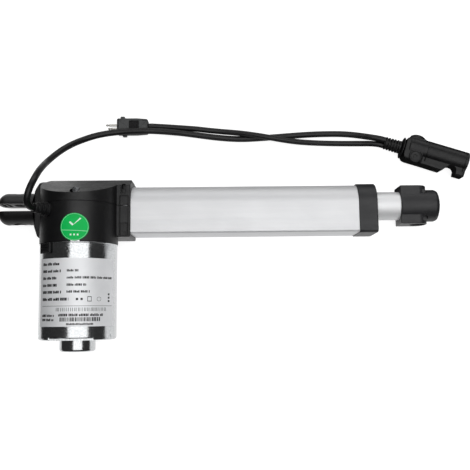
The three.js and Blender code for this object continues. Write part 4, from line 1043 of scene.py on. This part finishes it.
def disc_patch(name, cx, cy, radius, r0, r1, rings=14, seg=96, hole=0.0):
    """A thin disc or ring laid on the drum, round when seen from above."""
    verts, faces = [], []
    lv = []
    for r_ in (r0, r1):
        rows_ = []
        for j in range(rings + 1):
            d = hole + (radius - hole) * j / rings
            if d < 1e-6:
                verts.append((cx, cy, MZ + math.sqrt(r_ ** 2 - (cx - MX) ** 2)))
                rows_.append([len(verts) - 1])
                continue
            rr = []
            for k in range(seg):
                t = k / seg * math.tau
                x, y = cx + d * math.cos(t), cy + d * math.sin(t)
                rr.append(len(verts))
                verts.append((x, y, MZ + math.sqrt(r_ ** 2 - (x - MX) ** 2)))
            rows_.append(rr)
        lv.append(rows_)
        for A, B in zip(rows_, rows_[1:]):
            for k in range(seg):
                l = (k + 1) % seg
                if len(A) == 1:
                    faces.append((A[0], B[k], B[l]))
                else:
                    faces.append((A[k], B[k], B[l], A[l]))
    for j in ([rings] if hole < 1e-6 else [0, rings]):
        A, B = lv[0][j], lv[1][j]
        for k in range(seg):
            l = (k + 1) % seg
            faces.append((A[k], A[l], B[l], B[k]))
    return mesh_object(name, verts, faces)


def drum_blocks(name, quads, r0, r1, cut_n=8):
    """Thin closed blocks on the drum, each from four corners (x, y) given in order."""
    verts, faces = [], []
    for q in quads:
        a, b, c, d = [Vector(v) for v in q]
        k = len(verts)
        for i in range(cut_n + 1):
            f = i / cut_n
            p0, p1 = a.lerp(b, f), d.lerp(c, f)
            for rr, pp in ((r0, p0), (r1, p0), (r1, p1), (r0, p1)):
                verts.append((pp.x, pp.y, MZ + math.sqrt(rr ** 2 - (pp.x - MX) ** 2)))
        for i in range(cut_n):
            m, n = k + 4 * i, k + 4 * (i + 1)
            for w in range(4):
                z = (w + 1) % 4
                faces.append((m + w, m + z, n + z, n + w))
        faces.append((k, k + 1, k + 2, k + 3))
        faces.append(tuple(k + 4 * cut_n + w for w in range(4)))
    return mesh_object(name, verts, faces)


CX, CY = 56.1, -21.1
finish_piece(disc_patch("sticker", CX, CY, 10.9, DRUM_R + 0.1, DRUM_R + 0.32), "round_green_sticker", "actuator_body",
             M_GREEN, ["inspection_sticker"])
finish_piece(disc_patch("ring", CX, CY, 10.45, DRUM_R + 0.3, DRUM_R + 0.36, 1, 96, 10.2), "sticker_ring", "actuator_body",
             M_GREEN_LINE)
hw = math.sqrt(10.2 ** 2 - 3.0 ** 2)
quads = [((CX - hw, CY - 2.3), (CX + hw, CY - 3.1), (CX + hw, CY - 3.5), (CX - hw, CY - 2.7))]
finish_piece(drum_blocks("rule", quads, DRUM_R + 0.3, DRUM_R + 0.36, 16), "sticker_rule", "actuator_body", M_GREEN_LINE)
# a plain tick above the rule and three plain dots below it
quads = [((CX - 4.2, CY + 3.4), (CX - 1.5, CY + 0.9), (CX - 0.6, CY + 1.9), (CX - 3.1, CY + 4.3)),
         ((CX - 1.5, CY + 0.9), (CX + 5.2, CY + 6.3), (CX + 4.3, CY + 7.2), (CX - 0.6, CY + 1.9))]
quads += [((CX - 3.3 + 2.7 * i, CY - 6.9), (CX - 2.1 + 2.7 * i, CY - 6.9), (CX - 2.1 + 2.7 * i, CY - 5.5), (CX - 3.3 + 2.7 * i, CY - 5.5)) for i in range(3)]
finish_piece(drum_blocks("tick", quads, DRUM_R + 0.3, DRUM_R + 0.4, 12), "sticker_tick", "actuator_body", M_WHITE_INK)

# ---- the CAD pieces that stay: finish and rounded edges --------------------------------------------------------------------
KEEP = {
    "armature_core": M_COPPER, "brush_card": M_SWITCH, "brush_left": M_FERRITE, "brush_right": M_FERRITE, "commutator": M_COPPER,
    "lead_screw": M_STEEL, "spindle_stop": M_STEEL, "worm_wheel": M_POM, "spindle_bearing": M_STEEL, "spindle_nut": M_POM,
    "motor_shaft": M_STEEL, "worm": M_STEEL, "worm_end_bearing": M_BRONZE, "motor_front_bearing": M_BRONZE, "motor_rear_bearing": M_STEEL,
    "magnet_left": M_FERRITE, "magnet_right": M_FERRITE, "limit_switch_board": M_BOARD, "limit_switch_in": M_SWITCH,
    "limit_switch_out": M_SWITCH,
}
for n, m in KEEP.items():
    o = NODES[n]
    o.data.materials.clear()
    o.data.materials.append(m)
    b = o.modifiers.new("edge", "BEVEL")
    b.width, b.segments, b.limit_method, b.angle_limit = 0.00012, 1, "ANGLE", math.radians(50)

# ---- floor, light -----------------------------------------------------------------------------------------------------------------
fl = bpy.data.meshes.new("floor")
S = 8.0
fl.from_pydata([(-S, -S, 0), (S, -S, 0), (S, S, 0), (-S, S, 0)], [], [(0, 1, 2, 3)])
floor = bpy.data.objects.new("floor", fl)
floor.location = (0, 0, -0.0001)
scene.collection.objects.link(floor)
k = Mat("floor_white")
k.b.inputs["Base Color"].default_value = (0.4, 0.4, 0.4, 1)
k.b.inputs["Roughness"].default_value = 0.9
k.b.inputs["Specular IOR Level"].default_value = 0.05
k.b.inputs["Emission Color"].default_value = (1, 1, 1, 1)
k.b.inputs["Emission Strength"].default_value = 0.82
# painted light and reflection: what the floor gives back to the object is a glow seen only by rays other than the
# camera's, bright close by, dark further out
geo = k.add("ShaderNodeNewGeometry")
sx = k.add("ShaderNodeSeparateXYZ")
k.link(geo, "Position", sx, 0)


def fall(axis, a, b):
    m = k.add("ShaderNodeMapRange")
    m.interpolation_type = "SMOOTHSTEP"
    m.inputs["From Min"].default_value, m.inputs["From Max"].default_value = a, b
    m.inputs["To Min"].default_value, m.inputs["To Max"].default_value = 0.0, 1.0
    k.link(sx, axis, m, "Value")
    return m


def times(a, b, op="MULTIPLY"):
    m = k.add("ShaderNodeMath", operation=op)
    k.link(a, 0, m, 0)
    k.link(b, 0, m, 1)
    return m


# painted shade: dark patches in the floor's glow at a corner, behind the housing and under the plug, so these parts
# reflect shade
inside = times(times(fall(0, -0.255, -0.2), fall(0, 0.27, 0.22)), times(fall(1, -0.24, -0.2), fall(1, 0.22, 0.17)))
corner = times(fall(0, 0.0, 0.06), fall(1, -0.08, -0.1))
behind_painted_shade = times(fall(0, -0.142, -0.115), fall(1, 0.065, 0.085))
under_plug_painted_shade = times(fall(0, 0.1, 0.14), fall(1, 0.032, 0.046))
for shade, amount in ((corner, 1.0), (behind_painted_shade, 0.62), (under_plug_painted_shade, 1.0)):
    one = k.add("ShaderNodeMath", operation="MULTIPLY_ADD")
    one.inputs[1].default_value = -amount
    one.inputs[2].default_value = 1.0
    k.link(shade, 0, one, 0)
    inside = times(inside, one)
painted_reflection_glow = k.add("ShaderNodeEmission")
lift = k.add("ShaderNodeMapRange")
lift.inputs["To Min"].default_value, lift.inputs["To Max"].default_value = 0.03, 0.9
k.link(inside, 0, lift, "Value")
k.link(lift, 0, painted_reflection_glow, "Strength")
# the camera sees the evenly white floor; every other ray sees the painted glow
ray = k.add("ShaderNodeLightPath")
swap = k.add("ShaderNodeMixShader")
k.link(ray, "Is Camera Ray", swap, 0)
k.link(painted_reflection_glow, 0, swap, 1)
k.link(k.b, 0, swap, 2)
k.link(swap, 0, k.out, 0)
floor.data.materials.append(k.m)

world = bpy.data.worlds.new("studio")
scene.world = world
world.use_nodes = True
wt = world.node_tree
wt.nodes.clear()
wo = wt.nodes.new("ShaderNodeOutputWorld")
w1 = wt.nodes.new("ShaderNodeBackground")
w1.inputs[0].default_value = (1, 1, 1, 1)
w1.inputs[1].default_value = 0.035
w2 = wt.nodes.new("ShaderNodeBackground")
w2.inputs[0].default_value = (1, 1, 1, 1)
w2.inputs[1].default_value = 1.0
lp = wt.nodes.new("ShaderNodeLightPath")
mx = wt.nodes.new("ShaderNodeMixShader")
wt.links.new(lp.outputs["Is Camera Ray"], mx.inputs[0])
wt.links.new(w1.outputs[0], mx.inputs[1])
wt.links.new(w2.outputs[0], mx.inputs[2])
wt.links.new(mx.outputs[0], wo.inputs[0])


def area(name, loc, rot, sx, sy, power):
    d = bpy.data.lights.new(name, "AREA")
    d.shape, d.size, d.size_y, d.energy = "RECTANGLE", sx, sy, power
    o = bpy.data.objects.new(name, d)
    o.location, o.rotation_euler = loc, rot
    scene.collection.objects.link(o)
    return o


area("overhead_softbox", (0.20, -0.02, 1.15), (0, 0, 0), 1.25, 1.5, 9.2)
fill = area("overhead_fill", (0.20, -0.02, 1.16), (0, 0, 0), 1.25, 1.5, 7.0)
fill.visible_glossy = False
area("back_card", (0.15, 0.95, 0.34), (math.radians(-80), 0, 0), 1.7, 0.62, 4.2)

scene.view_settings.view_transform = "Standard"
scene.view_settings.look = "None"
